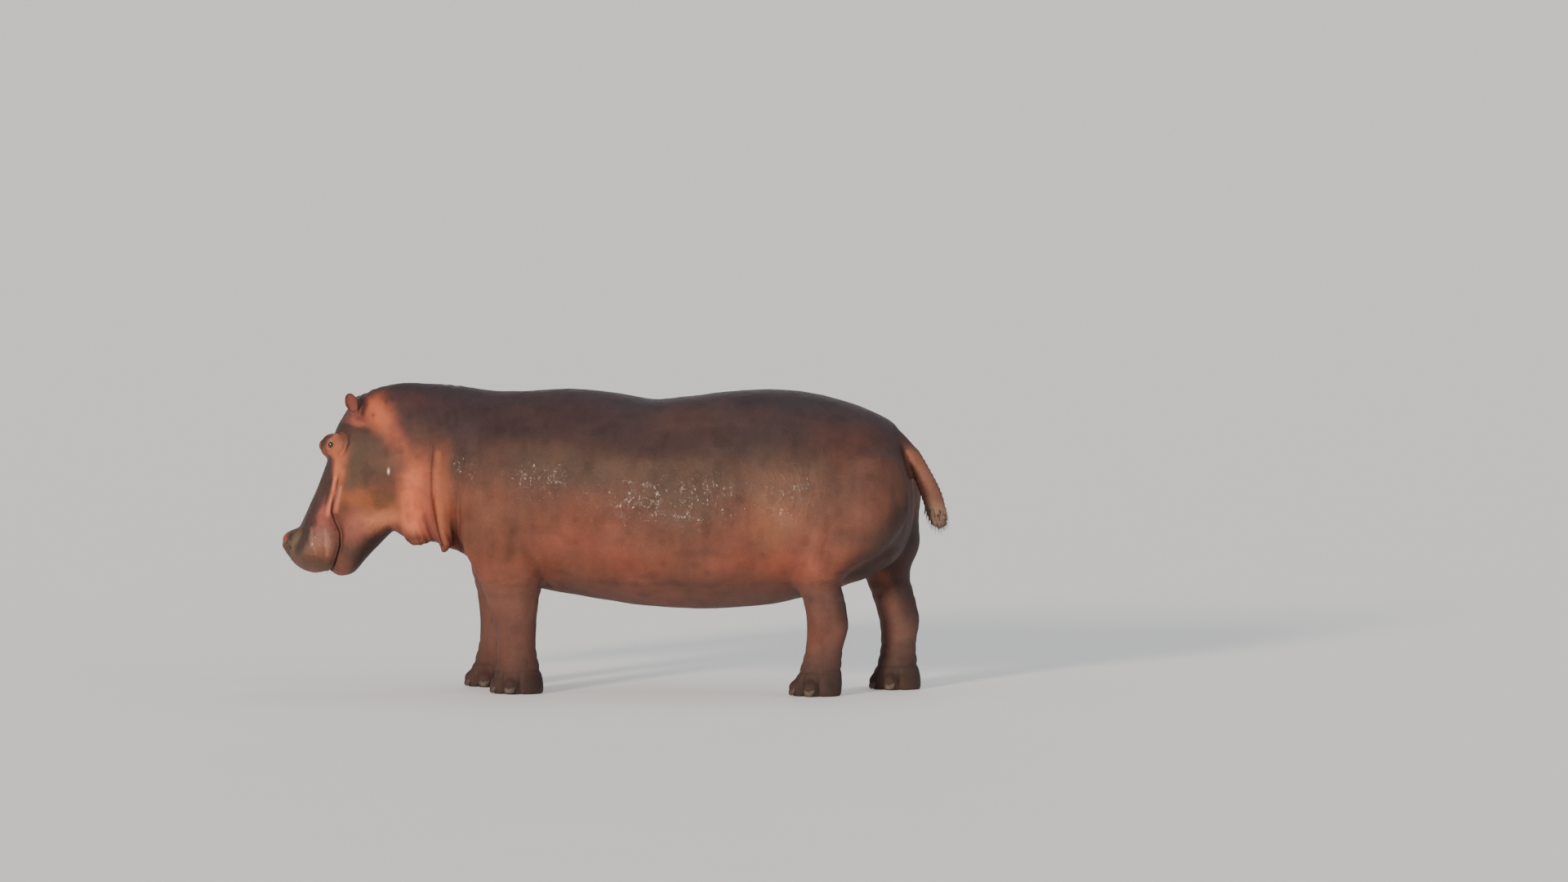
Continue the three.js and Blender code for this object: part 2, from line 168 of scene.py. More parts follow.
@dataclass(frozen=True)
class Outlook:
    """The direction from which side measures are taken, from a little behind and above.

    Side measures are places on a side sheet, across and down, where one unit is step millimetres.
    The ground below the animal's own origin lies at the sheet's origin, and level is the height about
    which the sheet is tilted.
    """

    azimuth: float = math.radians(7.0)
    elevation: float = math.radians(2.5)
    step: float = 3.9
    origin: tuple[float, float] = (800.0, 846.0)
    level: float = 585.0

    def axes(self) -> tuple[np.ndarray, np.ndarray, np.ndarray]:
        """Unit vectors to the right, forwards and up, as seen from there."""
        ca, sa = math.cos(self.azimuth), math.sin(self.azimuth)
        ce, se = math.cos(self.elevation), math.sin(self.elevation)
        right = np.array([ca, sa, 0.0])
        ahead = np.array([-sa * ce, ca * ce, -se])
        return right, ahead, np.cross(right, ahead)

    def sheet(self, points: np.ndarray) -> np.ndarray:
        """Where points fall on the side sheet.

        Args:
            points: N by 3 places in millimetres.

        Returns:
            N by 2 sheet places, across and down.
        """
        right, _, up = self.axes()
        flip = points - np.array([0, 0, self.level])
        across = self.origin[0] + flip @ right / self.step
        down = self.origin[1] - (self.level + flip @ up) / self.step
        return np.stack([across, down], axis=1)


OUTLOOK = Outlook()


@dataclass(frozen=True)
class HeadPlace:
    """Where the head's own frame stands: +X to the muzzle, +Y to the left, +Z to the forehead."""

    at: tuple[float, float, float] = (-1561.0, -72.0, 1172.0)
    pitch: float = 70.0
    yaw: float = 14.0
    roll: float = 3.0

    def matrix(self) -> Matrix:
        """From the head's frame to the animal's."""
        turn = Matrix.Rotation(math.radians(180.0 + self.yaw), 4, "Z")
        roll = Matrix.Rotation(math.radians(self.roll), 4, "X")
        nod = Matrix.Rotation(math.radians(self.pitch), 4, "Y")
        return Matrix.Translation(self.at) @ turn @ roll @ nod


HEAD = HeadPlace().matrix()
TO_HEAD = HEAD.inverted()
HEAD_AXES = np.array(HEAD)[:3, :3]


def moved(points: np.ndarray, matrix: Matrix) -> np.ndarray:
    """Points carried by a matrix."""
    m = np.array(matrix)
    return points @ m[:3, :3].T + m[:3, 3]


def on_side(at: tuple, side: int) -> np.ndarray:
    """A place on the side where Y is positive, or its mirror image where side is -1."""
    return np.array(at) * (1, side, 1)


# ---------------------------------------------------------------- flesh forms


@dataclass(frozen=True)
class Form:
    """A smooth body through stations, laid along X, or along Z when upright.

    Each station is place, sideways centre, middle, and then top, bottom (or front, back), half width
    and the exponent of its section.
    """

    stations: tuple[tuple[float, ...], ...]
    upright: bool = False
    dome: tuple[float, float] = (0.0, 0.0)

    def table(self) -> tuple[np.ndarray, np.ndarray]:
        """The stations joined by one smooth curve.

        Returns:
            The places along the form, and the other values at each of them.
        """
        rows = np.array(self.stations)
        padded = np.vstack([2 * rows[0] - rows[1], rows, 2 * rows[-1] - rows[-2]])
        steps = np.linspace(0.0, 1.0, 40, endpoint=False)[:, None]
        pieces = []
        for i in range(1, len(rows)):
            p0, p1, p2, p3 = padded[i - 1 : i + 3]
            t0, t1 = (p2 - p0) / 2, (p3 - p1) / 2
            a, b = 2 * p1 - 2 * p2 + t0 + t1, -3 * p1 + 3 * p2 - 2 * t0 - t1
            pieces.append(p1 + steps * (t0 + steps * (b + steps * a)))
        curve = np.vstack(pieces + [rows[-1:]])
        return curve[:, 0], curve[:, 1:]

    def sections(self, length: float, step: float) -> tuple[np.ndarray, np.ndarray]:
        """Where the form is cut, closer together in its domed ends.

        Args:
            length: the form's length.
            step: distance between sections.

        Returns:
            Each section's distance from the form's start, and its size from 0 to 1.
        """
        stops = [np.linspace(self.dome[0], length - self.dome[1], max(3, int(length / step)))]
        arc = 1.0 - np.cos(np.linspace(0.08, math.pi / 2, 12, endpoint=False))
        if self.dome[0]:
            stops.insert(0, self.dome[0] * arc)
        if self.dome[1]:
            stops.append(length - self.dome[1] * arc[::-1])
        stops = np.concatenate(stops)
        share = np.ones(len(stops))
        for gap, reach in ((stops, self.dome[0]), (length - stops, self.dome[1])):
            if reach:
                share *= np.sqrt(1.0 - (1.0 - np.clip(gap / reach, 0.0, 1.0)) ** 2)
        return stops, share

    def shell(self, step: float, around: int, shrink: float) -> tuple[np.ndarray, list]:
        """The form's closed surface.

        Args:
            step: distance between sections.
            around: points in each section.
            shrink: how far the surface lies inside the stations' sizes.

        Returns:
            Points and faces.
        """
        places, values = self.table()
        first = places[0]
        stops, share = self.sections(places[-1] - first, step)
        v = np.stack([np.interp(first + stops, places, values[:, k]) for k in range(6)], axis=1)
        side, mid, high, low, half, power = v.T
        rise, fall = (mid - high, low - mid) if self.upright else (high - mid, mid - low)
        angle = np.linspace(0.0, TAU, around, endpoint=False)
        cos, sin = np.cos(angle)[None, :], np.sin(angle)[None, :]
        exponent = (2.0 / power)[:, None]
        out = np.sign(cos) * np.abs(cos) ** exponent * ((half - shrink) * share)[:, None]
        tall = np.where(sin > 0, rise[:, None], fall[:, None]) - shrink
        lift = np.sign(sin) * np.abs(sin) ** exponent * tall * share[:, None]
        along = np.broadcast_to((first + stops)[:, None], out.shape)
        if self.upright:
            xyz = (mid[:, None] - lift, side[:, None] + out, along)
        else:
            xyz = (along, side[:, None] + out, mid[:, None] + lift)
        points = np.stack(xyz, axis=-1).reshape(-1, 3)
        rings = len(stops)
        faces = []
        for r in range(rings - 1):
            for k in range(around):
                n = (k + 1) % around
                faces.append((r * around + k, r * around + n, (r + 1) * around + n, (r + 1) * around + k))
        faces.append(tuple(range(around))[::-1])
        faces.append(tuple(range((rings - 1) * around, rings * around)))
        return points, faces


def ball(at: tuple, size: tuple, rows: int = 24, around: int = 40) -> tuple[np.ndarray, list]:
    """An ellipsoid with its half sizes along X, Y and Z.

    Args:
        at: its centre.
        size: its half sizes.
        rows: rings from pole to pole.
        around: points in each ring.

    Returns:
        Points and faces.
    """
    turn = np.linspace(0.0, TAU, around, endpoint=False)
    lat = np.linspace(0.0, math.pi, rows + 1)[1:-1]
    flat = np.stack([np.cos(turn), np.sin(turn), np.ones(around)], axis=1)
    rings = [flat * (np.sin(a), np.sin(a), np.cos(a)) for a in lat]
    points = np.vstack(rings + [np.array([[0, 0, 1.0], [0, 0, -1.0]])]) * np.array(size) + np.array(at)
    top, bottom = len(points) - 2, len(points) - 1
    faces = []
    for k in range(around):
        n = (k + 1) % around
        faces.append((top, k, n))
        faces.append((bottom, (rows - 2) * around + n, (rows - 2) * around + k))
        for r in range(rows - 2):
            faces.append((r * around + k, (r + 1) * around + k, (r + 1) * around + n, r * around + n))
    return points, faces


TRUNK = Form(
    (
        (-1425, -88, 1180, 1395, 960, 135, 2.1),
        (-1350, -75, 1150, 1440, 880, 178, 2.1),
        (-1270, -62, 1125, 1462, 790, 220, 2.1),
        (-1180, -46, 1095, 1473, 722, 258, 2.1),
        (-1060, -26, 1060, 1467, 705, 300, 2.1),
        (-943, -10, 1020, 1456, 660, 345, 2.1),
        (-786, 0, 975, 1436, 570, 405, 2.15),
        (-610, 0, 945, 1432, 500, 450, 2.2),
        (-393, 0, 920, 1447, 455, 482, 2.2),
        (-180, 0, 895, 1427, 425, 506, 2.2),
        (0, 0, 880, 1398, 405, 524, 2.25),
        (180, 0, 872, 1415, 395, 536, 2.25),
        (380, 0, 878, 1438, 398, 536, 2.25),
        (570, 0, 895, 1448, 415, 520, 2.2),
        (760, 0, 920, 1430, 455, 494, 2.2),
        (920, 0, 935, 1390, 505, 458, 2.2),
        (1060, 0, 935, 1338, 560, 405, 2.2),
        (1160, 0, 930, 1284, 615, 345, 2.2),
        (1245, 0, 915, 1225, 665, 270, 2.2),
    ),
    dome=(70, 105),
)
SKULL = Form(
    (
        (-325, 0, -175, -85, -330, 165, 2.1),
        (-250, 0, -175, -44, -345, 200, 2.1),
        (-170, 0, -170, -22, -350, 215, 2.15),
        (-80, 0, -165, -8, -355, 222, 2.2),
        (10, 0, -160, -18, -350, 226, 2.3),
        (95, 0, -150, -24, -330, 205, 2.3),
        (185, 0, -130, -24, -300, 168, 2.3),
        (275, 0, -118, -19, -270, 155, 2.4),
        (355, 0, -115, -14, -245, 190, 2.6),
        (440, 0, -112, -4, -232, 222, 2.9),
        (520, 0, -108, 8, -228, 228, 3.0),
        (604, 0, -108, 0, -215, 205, 2.8),
    ),
    dome=(70, 80),
)
JAW = Form(
    (
        (-80, 0, -300, -160, -478, 205, 2.1),
        (40, 0, -300, -120, -494, 228, 2.2),
        (140, 0, -290, -90, -486, 224, 2.2),
        (235, 0, -280, -100, -456, 206, 2.2),
        (330, 0, -275, -140, -412, 196, 2.3),
        (420, 0, -270, -180, -370, 204, 2.5),
        (500, 0, -265, -190, -338, 206, 2.6),
        (575, 0, -260, -200, -318, 180, 2.5),
    ),
    dome=(90, 70),
)
TAIL = Form(
    (
        (788, 0, 1376, 1345, 1412, 15, 2.0),
        (850, 0, 1362, 1316, 1410, 23, 2.0),
        (950, 0, 1334, 1284, 1384, 31, 2.0),
        (1050, 0, 1290, 1238, 1340, 39, 2.0),
        (1140, 0, 1235, 1180, 1290, 48, 2.0),
        (1210, 0, 1185, 1120, 1240, 56, 2.0),
        (1270, 0, 1115, 1050, 1180, 60, 2.0),
    ),
    upright=True,
    dome=(22, 40),
)

FORELEG = (
    (0, 262, -690, -806, -570, 118, 2.3),
    (62, 262, -690, -812, -568, 122, 2.2),
    (135, 262, -688, -792, -578, 108, 2.1),
    (230, 264, -684, -778, -584, 96, 2.1),
    (340, 268, -680, -786, -572, 104, 2.1),
    (460, 274, -680, -812, -546, 124, 2.1),
    (580, 282, -684, -850, -512, 150, 2.1),
    (700, 288, -692, -885, -490, 166, 2.1),
    (830, 282, -700, -892, -500, 168, 2.1),
    (980, 262, -696, -850, -530, 150, 2.1),
    (1120, 235, -690, -800, -570, 120, 2.1),
)
HINDLEG = (
    (0, 276, 985, 868, 1098, 112, 2.3),
    (60, 276, 985, 862, 1100, 116, 2.2),
    (130, 276, 990, 890, 1094, 100, 2.1),
    (225, 276, 1000, 912, 1096, 86, 2.1),
    (330, 278, 1012, 912, 1118, 88, 2.1),
    (440, 284, 1000, 888, 1102, 104, 2.1),
    (560, 292, 980, 838, 1086, 138, 2.1),
    (690, 296, 990, 775, 1196, 182, 2.1),
    (830, 284, 1000, 770, 1246, 212, 2.1),
    (980, 258, 1010, 810, 1258, 214, 2.1),
    (1120, 222, 1020, 880, 1215, 190, 2.1),
    (1230, 190, 1020, 920, 1140, 150, 2.1),
)


@dataclass(frozen=True)
class Leg:
    """One leg: the stations of its kind, stepped forwards or back."""

    name: str
    stations: tuple
    side: Side
    foot: float
    knee: float
    knee_height: float = 570.0
    thigh_height: float = 800.0
    toe_angles: tuple = (-78.0, -27.0, 27.0, 78.0)

    def form(self) -> Form:
        """The leg's body, with its step."""
        rows = []
        for z, out, mid, front, back, half, power in self.stations:
            t = min(max((self.thigh_height - z) / (self.thigh_height - self.knee_height), 0.0), 1.0)
            low = min(max((self.knee_height - z) / self.knee_height, 0.0), 1.0)
            step = self.knee * t * t * (3 - 2 * t) + (self.foot - self.knee) * low
            rows.append((z, out * self.side.value, mid + step, front + step, back + step, half, power))
        return Form(tuple(rows), upright=True, dome=(0, 110))

    def toe_matrices(self) -> list[Matrix]:
        """Where each toe stands, its own +X pointing outwards."""
        _, out, mid, *_ = self.form().stations[0]
        return [
            Matrix.Translation((mid, out, 0)) @ Matrix.Rotation(math.radians(180 + a), 4, "Z")
            for a in self.toe_angles
        ]


LEGS = (
    Leg("foreleg_left", FORELEG, Side.LEFT, 80, 32),
    Leg("foreleg_right", FORELEG, Side.RIGHT, -120, -75),
    Leg("hindleg_left", HINDLEG, Side.LEFT, -160, -130),
    Leg("hindleg_right", HINDLEG, Side.RIGHT, 160, 118),
)


@dataclass(frozen=True)
class Ear:
    """One ear, in the head's frame: a stalk and an oval blade.

    The ovals body, around and fine, each a centre and half sizes in the ear's own frame, bound the
    ear itself, the part that stays unsmoothed, and the part with the finest mesh.
    """

    side: int
    lean: float
    at: tuple[float, float, float] = (-172.0, 165.0, -62.0)
    stalk: float = 40.0
    length: float = 108.0
    half: float = 31.0
    depth: float = 19.0
    out: float = 16.0
    open: float = 52.0
    cup: float = 33.0
    body: tuple = ((0, 0, 60), (45, 45, 72))
    around: tuple = ((0, 0, 62), (50, 50, 78))
    fine: tuple = ((0, 0, 60), (50, 52, 78))

    def matrix(self) -> Matrix:
        """From the ear's frame, +Z to its tip and +X out of its cup, to the animal's."""
        return (
            HEAD
            @ Matrix.Translation(on_side(self.at, self.side))
            @ Matrix.Rotation(math.radians(-self.out * self.side), 4, "X")
            @ Matrix.Rotation(math.radians(self.lean + 180), 4, "Y")
            @ Matrix.Rotation(math.radians(self.open * self.side), 4, "Z")
        )

    def own(self, points: np.ndarray) -> np.ndarray:
        """Points of the animal's frame in the ear's."""
        return moved(points, self.matrix().inverted())

    def across(self, own: np.ndarray) -> np.ndarray:
        """How far points of the ear's frame lie from the blade's middle: 1 at its edge."""
        return np.hypot(own[:, 1] / self.half, (own[:, 2] - self.length / 2 - 6) / (self.length / 2))

    def share(self, own: np.ndarray) -> np.ndarray:
        """How much each point, in the ear's frame, belongs to the ear, from 0 to 1."""
        return smooth_step(1.1, 0.9, oval(own, *self.body))

    def shells(self) -> list[tuple[np.ndarray, list]]:
        """The ear's blade and stalk, in the animal's frame."""
        blade = ball((0, 0, self.length / 2 + 6), (self.depth, self.half, self.length / 2))
        root = ball((0, 0, 4), (self.depth * 0.85, self.half * 0.72, self.stalk))
        return [(moved(p, self.matrix()), f) for p, f in (blade, root)]


EARS = (Ear(1, 128.0), Ear(-1, 76.0))


@dataclass(frozen=True)
class Eye:
    """The eyeballs' place and size in the head's frame."""

    at: tuple[float, float, float] = (2.0, 166.0, -3.0)
    radius: float = 19.0
    gaze: tuple[float, float, float] = (0.10, 0.94, 0.30)

    def centre(self, side: int) -> np.ndarray:
        """The eyeball's centre in the animal's frame; side is 1 for the left eye."""
        return moved(on_side(self.at, side)[None], HEAD)[0]

    def axes(self, side: int) -> np.ndarray:
        """Rows: towards the muzzle, up over the lid, and outwards, in the animal's frame."""
        out = on_side(self.gaze, side)
        out /= np.linalg.norm(out)
        ahead = np.array([1.0, 0, 0]) - out * out[0]
        ahead /= np.linalg.norm(ahead)
        up = np.cross(out, ahead) * (-1 if side > 0 else 1)
        if up[2] < 0:
            up = -up
        return np.stack([ahead, up, out]) @ HEAD_AXES.T


EYE = Eye()
EYE_MOUND = ((-6, 134, -28), (64, 52, 56))
MOUNDS = (  # centre and half sizes in the head's frame, each with a twin on the right
    EYE_MOUND,
    ((492, 104, -14), (68, 48, 42)),
    ((455, 150, -122), (132, 92, 104)),
    ((115, 128, -268), (235, 100, 186)),
)
FOLDS = (  # the jowl and the loose fold behind it, in the animal's frame, with twins
    ((-1105, 165, 835), (105, 130, 148)),
    ((-976, 228, 890), (46, 124, 232)),
)
FINE_OVALS = (((2, 160, -8), (75, 75, 75)), ((492, 100, 10), (85, 80, 60)))  # eyes and nostrils
TOE = ((88, 0, 38), (52, 42, 40))
TOE_TOP = ((112, 0, 44), (52, 34, 46))
LEG_FOLDS = ((118, 5, 11), (168, 3, 9), (215, 2.5, 10), (455, 3, 16), (520, 4, 18))  # height, depth, width


class Place:
    """How the animal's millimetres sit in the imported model's metres."""

    def __init__(self) -> None:
        """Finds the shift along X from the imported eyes."""
        offsets = []
        for node, side in (("eye_left", 1), ("eye_right", -1)):
            low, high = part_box(node)
            offsets.append((low[0] + high[0]) / 2 - EYE.centre(side)[0] * MM)
        self.shift = sum(offsets) / 2

    def row(self, points: np.ndarray) -> np.ndarray:
        """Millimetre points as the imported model's metres."""
        return points * MM + np.array([self.shift, 0.0, 0.0])


PLACE = Place()


# ---------------------------------------------------------------- shaping the skin


@dataclass(frozen=True)
class Crease:
    """A fold or ridge along a line, whose corners each give two places and the strength there.

    Sheet creases lie on the side sheet, with only a share of their depth on the right. Head creases
    lie in the head's X and Z, and the nostril's slit in its X and Y, alike on both sides.
    """

    corners: tuple[tuple[float, float, float], ...]
    depth: float
    width: float
    rim: float = 0.12
    right: float = 0.6

    def line(self) -> np.ndarray:
        """Its corners as flat places."""
        return np.array(self.corners)[:, :2]

    def push(self, flat: np.ndarray, step: float) -> np.ndarray:
        """How far points move outwards.

        Args:
            flat: N by 2 places.
            step: millimetres in one unit of those places.

        Returns:
            N distances.
        """
        away, strength = along_line(flat, self.corners)
        t = away * step / self.width
        swell = self.rim * np.exp(-((t - 2.0) ** 2))
        return -self.depth * strength * (np.exp(-t * t) - swell)


@dataclass(frozen=True)
class Zone:
    """An oval patch with soft edges, on the side sheet unless said otherwise."""

    at: tuple[float, float]
    size: tuple[float, float]
    value: float = 1.0
    turn: float = 0.0
    right: float = 1.0

    def share(self, flat: np.ndarray) -> np.ndarray:
        """How much of the zone each of N flat places takes, from 0 to its value."""
        c, s = math.cos(math.radians(self.turn)), math.sin(math.radians(self.turn))
        d = flat - np.array(self.at)
        x, y = d @ np.array([c, s]) / self.size[0], d @ np.array([-s, c]) / self.size[1]
        return self.value * np.exp(-((x * x + y * y) ** 1.2))


def curls(points: np.ndarray) -> np.ndarray:
    """How near each point lies to the crest of a small winding wrinkle, from 0 to 1."""
    sway, heave = BENDING.at(points + 800, 70), BENDING.at(points + 600, 80)
    bent = points + CURL_SWAY * np.stack([sway, 0 * sway, heave], axis=1)
    return np.exp(-((WINDING.at(bent + 5000, CURL_SIZE) / CURL_WIDTH) ** 2))


def wetness(flat: np.ndarray) -> np.ndarray:
    """How wet the hide is at places of the side sheet, from 0 to 1."""
    return np.max([zone.share(flat) for zone in WET_ZONES], axis=0)


BENDING, WINDING = Noise(14), Noise(12)
CURL_SWAY, CURL_SIZE, CURL_WIDTH = 22.0, (27, 60, 40), 0.17
LEAST_DAMP = 0.06
SLIT = Crease(
    ((461, 82, 0.5), (476, 88, 1.0), (494, 98, 1.1), (512, 112, 0.8), (524, 124, 0.2)), 19, 5.5, 0.35,
)
NOSTRIL_SWELL = Zone((490, 102), (56, 46), 15.0)  # in the head's X and Y
WET_ZONES = (
    Zone((818, 614), (136, 50), 1.1),
    Zone((570, 572), (20, 24), 1.15),
    Zone((393, 664), (20, 30), 1.1),
    Zone((660, 586), (58, 34), 1.05),
    Zone((966, 606), (54, 40), 1.0),
    Zone((1040, 570), (50, 40), 0.4),
)
SHEET_CREASES = (
    Crease(
        ((531, 600, 0), (532, 618, 0.7), (535, 636, 1), (538, 652, 1.1), (543, 668, 0.9)), 27, 9.5, 0.25, 0.8,
    ),
    Crease(
        ((532, 540, 0.1), (532, 556, 0.7), (530, 576, 1), (530, 596, 1), (531, 612, 1), (533, 630, 0.5)),
        5.0, 3.6, 0.08, 0.9,
    ),
    Crease(((546, 556, 0.1), (546, 600, 0.8), (547, 630, 1), (550, 655, 1.1), (552, 673, 0.8)), -13, 30, 0.0),
    Crease(
        ((565, 566, 0), (562, 600, 0.35), (560, 625, 0.7), (560, 645, 1), (561, 660, 1.2), (565, 675, 1.2)),
        23, 17, 0.12, 0.8,
    ),
    Crease(((1013, 636, 0), (1009, 652, 0.8), (1003, 668, 1), (999, 690, 0.8)), 11, 17, 0.3),
    Crease(((446, 481, 0.3), (448, 494, 1), (445, 507, 0.4)), 13, 12, 0.1),
    Crease(((428, 518, 0.5), (440, 514, 1), (452, 517, 0.3)), -5, 12, 0.0),
    Crease(((470, 520, 0), (480, 541, 0.8), (494, 552, 0.3)), 4, 12, 0.3),
    Crease(((478, 478, 0), (474, 492, 1), (476, 505, 0)), 5, 8, 0.3),
    Crease(((500, 655, 0), (507, 661, 1), (516, 660, 0)), 7, 9, 0.4),
    Crease(((566, 520, 0), (572, 560, 0.8), (570, 604, 1), (566, 640, 0.3)), 4, 26, 0.5),
    Crease(((590, 640, 0), (604, 655, 1), (612, 676, 0.5)), 6, 20, 0.4),
    Crease(((640, 640, 0), (632, 660, 0.8), (628, 686, 1)), 6, 22, 0.4),
    Crease(((1060, 690, 0), (1084, 676, 1), (1101, 664, 0.2)), 8, 14, 0.3),
    Crease(((1046, 668, 0), (1072, 660, 0.7), (1096, 644, 0.2)), 5, 16, 0.3),
    Crease(((480, 600, 0), (492, 612, 0.6), (508, 606, 0)), 3, 12, 0.3),
    Crease(((1102, 548, 0.2), (1110, 566, 1), (1118, 586, 1), (1124, 604, 0.4)), 9, 9, 0.3, 1.0),
)
SHEET_SWELLS = (
    Zone((511, 618), (19, 50), 13.0, 0, 0.8),
    Zone((454, 521), (7, 7), -8.0),
    Zone((466, 500), (14, 16), 5.0),
    Zone((1040, 610), (60, 45), 10.0, 20),
    Zone((620, 560), (40, 60), 9.0, 10),
    Zone((560, 500), (26, 24), 6.0),
    Zone((1090, 560), (22, 34), -7.0, -20),
    Zone((760, 640), (120, 30), 8.0),
)
HEAD_CREASES = (
    Crease(
        ((720, -213, 1), (530, -212, 1), (440, -205, 1), (380, -182, 0.9), (335, -140, 0.8), (300, -112, 0.8),
         (230, -97, 0.65), (170, -89, 0.4), (120, -83, 0.1)), 11, 4.0, 0.14, 1.0,
    ),
    Crease(((120, -68, 0), (160, -72, 1), (210, -78, 1), (262, -82, 1), (303, -90, 0.2)), -6, 9, 0.0, 1.0),
    Crease(((52, -44, 1), (90, -60, 1), (138, -77, 0.6), (170, -80, 0)), -8, 15, 0.1, 1.0),
    Crease(((372, -92, 0), (430, -118, 1), (480, -140, 1), (530, -160, 0.3)), 5, 15, 0.2, 1.0),
    Crease(((335, -152, 0), (372, -214, 0.8), (410, -262, 0)), 3, 12, 0.3, 1.0),
    Crease(((-60, -58, 0.2), (-30, -68, 1), (20, -66, 1), (50, -50, 0.2)), 6, 9, 0.3, 1.0),
    Crease(((-95, 0, 0.3), (-70, -30, 1), (-66, -60, 0.3)), 5, 10, 0.3, 1.0),
)
MOUTH_LINE = HEAD_CREASES[0]
NECK_FOLDS = (SHEET_CREASES[0], SHEET_CREASES[1], SHEET_CREASES[3])


@dataclass(frozen=True)
class FoldField:
    """A patch of roughly parallel folds on the side sheet."""

    zone: Zone
    turn: float
    spacing: float
    depth: float

    def push(self, flat: np.ndarray, points: np.ndarray) -> np.ndarray:
        """How far points move outwards.

        Args:
            flat: N by 2 places on the side sheet.
            points: the same N points in millimetres.

        Returns:
            N distances.
        """
        way = np.array([math.cos(math.radians(self.turn)), math.sin(math.radians(self.turn))])
        bend = BENDING.at(points + 2000, 120) * 7 + BENDING.at(points + 6000, 45) * 2.0
        phase = (flat @ way + bend) / self.spacing
        valley = np.exp(-((np.sin(phase * math.pi) / 0.42) ** 2))
        gate = smooth_step(-0.5, 0.4, BENDING.at(points + 8000, 150))
        return self.depth * (0.35 - valley) * gate * self.zone.share(flat)


FOLD_FIELDS = (
    FoldField(Zone((487, 585), (16, 44)), 8, 8.5, 2.6),
    FoldField(Zone((505, 655), (20, 16)), 20, 7.0, 3.0),
    FoldField(Zone((595, 570), (38, 60)), 12, 14.0, 2.2),
    FoldField(Zone((606, 672), (40, 22)), 62, 8.5, 4.0),
    FoldField(Zone((628, 716), (32, 22)), 84, 9.0, 4.0),
    FoldField(Zone((1006, 694), (30, 24)), 60, 8.0, 4.0),
    FoldField(Zone((1030, 740), (34, 20)), 86, 9.0, 3.5),
    FoldField(Zone((1088, 652), (22, 26)), 110, 10.0, 1.6),
    FoldField(Zone((447, 545), (20, 14)), 70, 6.0, 1.8),
    FoldField(Zone((396, 590), (8, 40)), 70, 7.0, 1.6),
    FoldField(Zone((445, 640), (24, 18)), 40, 7.5, 1.6),
    FoldField(Zone((520, 500), (36, 26)), 15, 10.0, 2.4),
    FoldField(Zone((700, 690), (60, 14)), 30, 12.0, 2.5),
    FoldField(Zone((955, 680), (40, 16)), 120, 10.0, 3.0),
)


def tail_share(points: np.ndarray) -> np.ndarray:
    """How much each point belongs to the tail, from 0 to 1."""
    places, values = TAIL.table()
    own = [np.interp(points[:, 2], places, values[:, k]) for k in range(5)]
    middle, reach, half = (own[2] + own[3]) / 2, (own[3] - own[2]) / 2, own[4]
    away = np.hypot((points[:, 0] - middle) / reach, points[:, 1] / half)
    ends = smooth_step(740, 770, points[:, 2]) * smooth_step(1210, 1120, points[:, 2])
    return smooth_step(1.5, 1.1, away) * ends


def head_share(body: np.ndarray, head: np.ndarray) -> np.ndarray:
    """How much each point, given in both frames, belongs to the head, from 0 to 1."""
    ahead = smooth_step(-330, -200, head[:, 0] - 0.35 * (head[:, 2] + 150))
    return ahead * smooth_step(-1080, -1190, body[:, 0])


class Halves:
    """Points of the animal seen as if all lay on its left side, with the right side mirrored onto it."""

    def __init__(self, points: np.ndarray, normals: np.ndarray) -> None:
        """Mirrors the right side: the head about its own middle plane, the rest about the body's.

        Args:
            points: N by 3 places in millimetres.
            normals: N by 3 outward directions.
        """
        turn, flip = HEAD_AXES, np.array([1.0, -1.0, 1.0])
        self.head, self.own = moved(points, TO_HEAD), normals @ turn
        self.of_head = head_share(points, self.head)
        middle = np.interp(points[:, 0], [-1425, -786], [-88, 0])
        self.lateral = np.where(self.of_head > 0.5, -self.head[:, 1], points[:, 1] - middle)
        body, skull = points * flip + np.outer(2 * middle, [0, 1, 0]), moved(self.head * flip, HEAD)
        share, right = self.of_head[:, None], (self.lateral > 0)[:, None]
        left = np.where(right, body + (skull - body) * share, points)
        ways = normals * flip * (1 - share) + (self.own * flip) @ turn.T * share
        self.facing = -np.where(right, ways, normals) @ OUTLOOK.axes()[1]
        self.sheet = OUTLOOK.sheet(left)
        self.right = smooth_step(-20, 20, self.lateral)


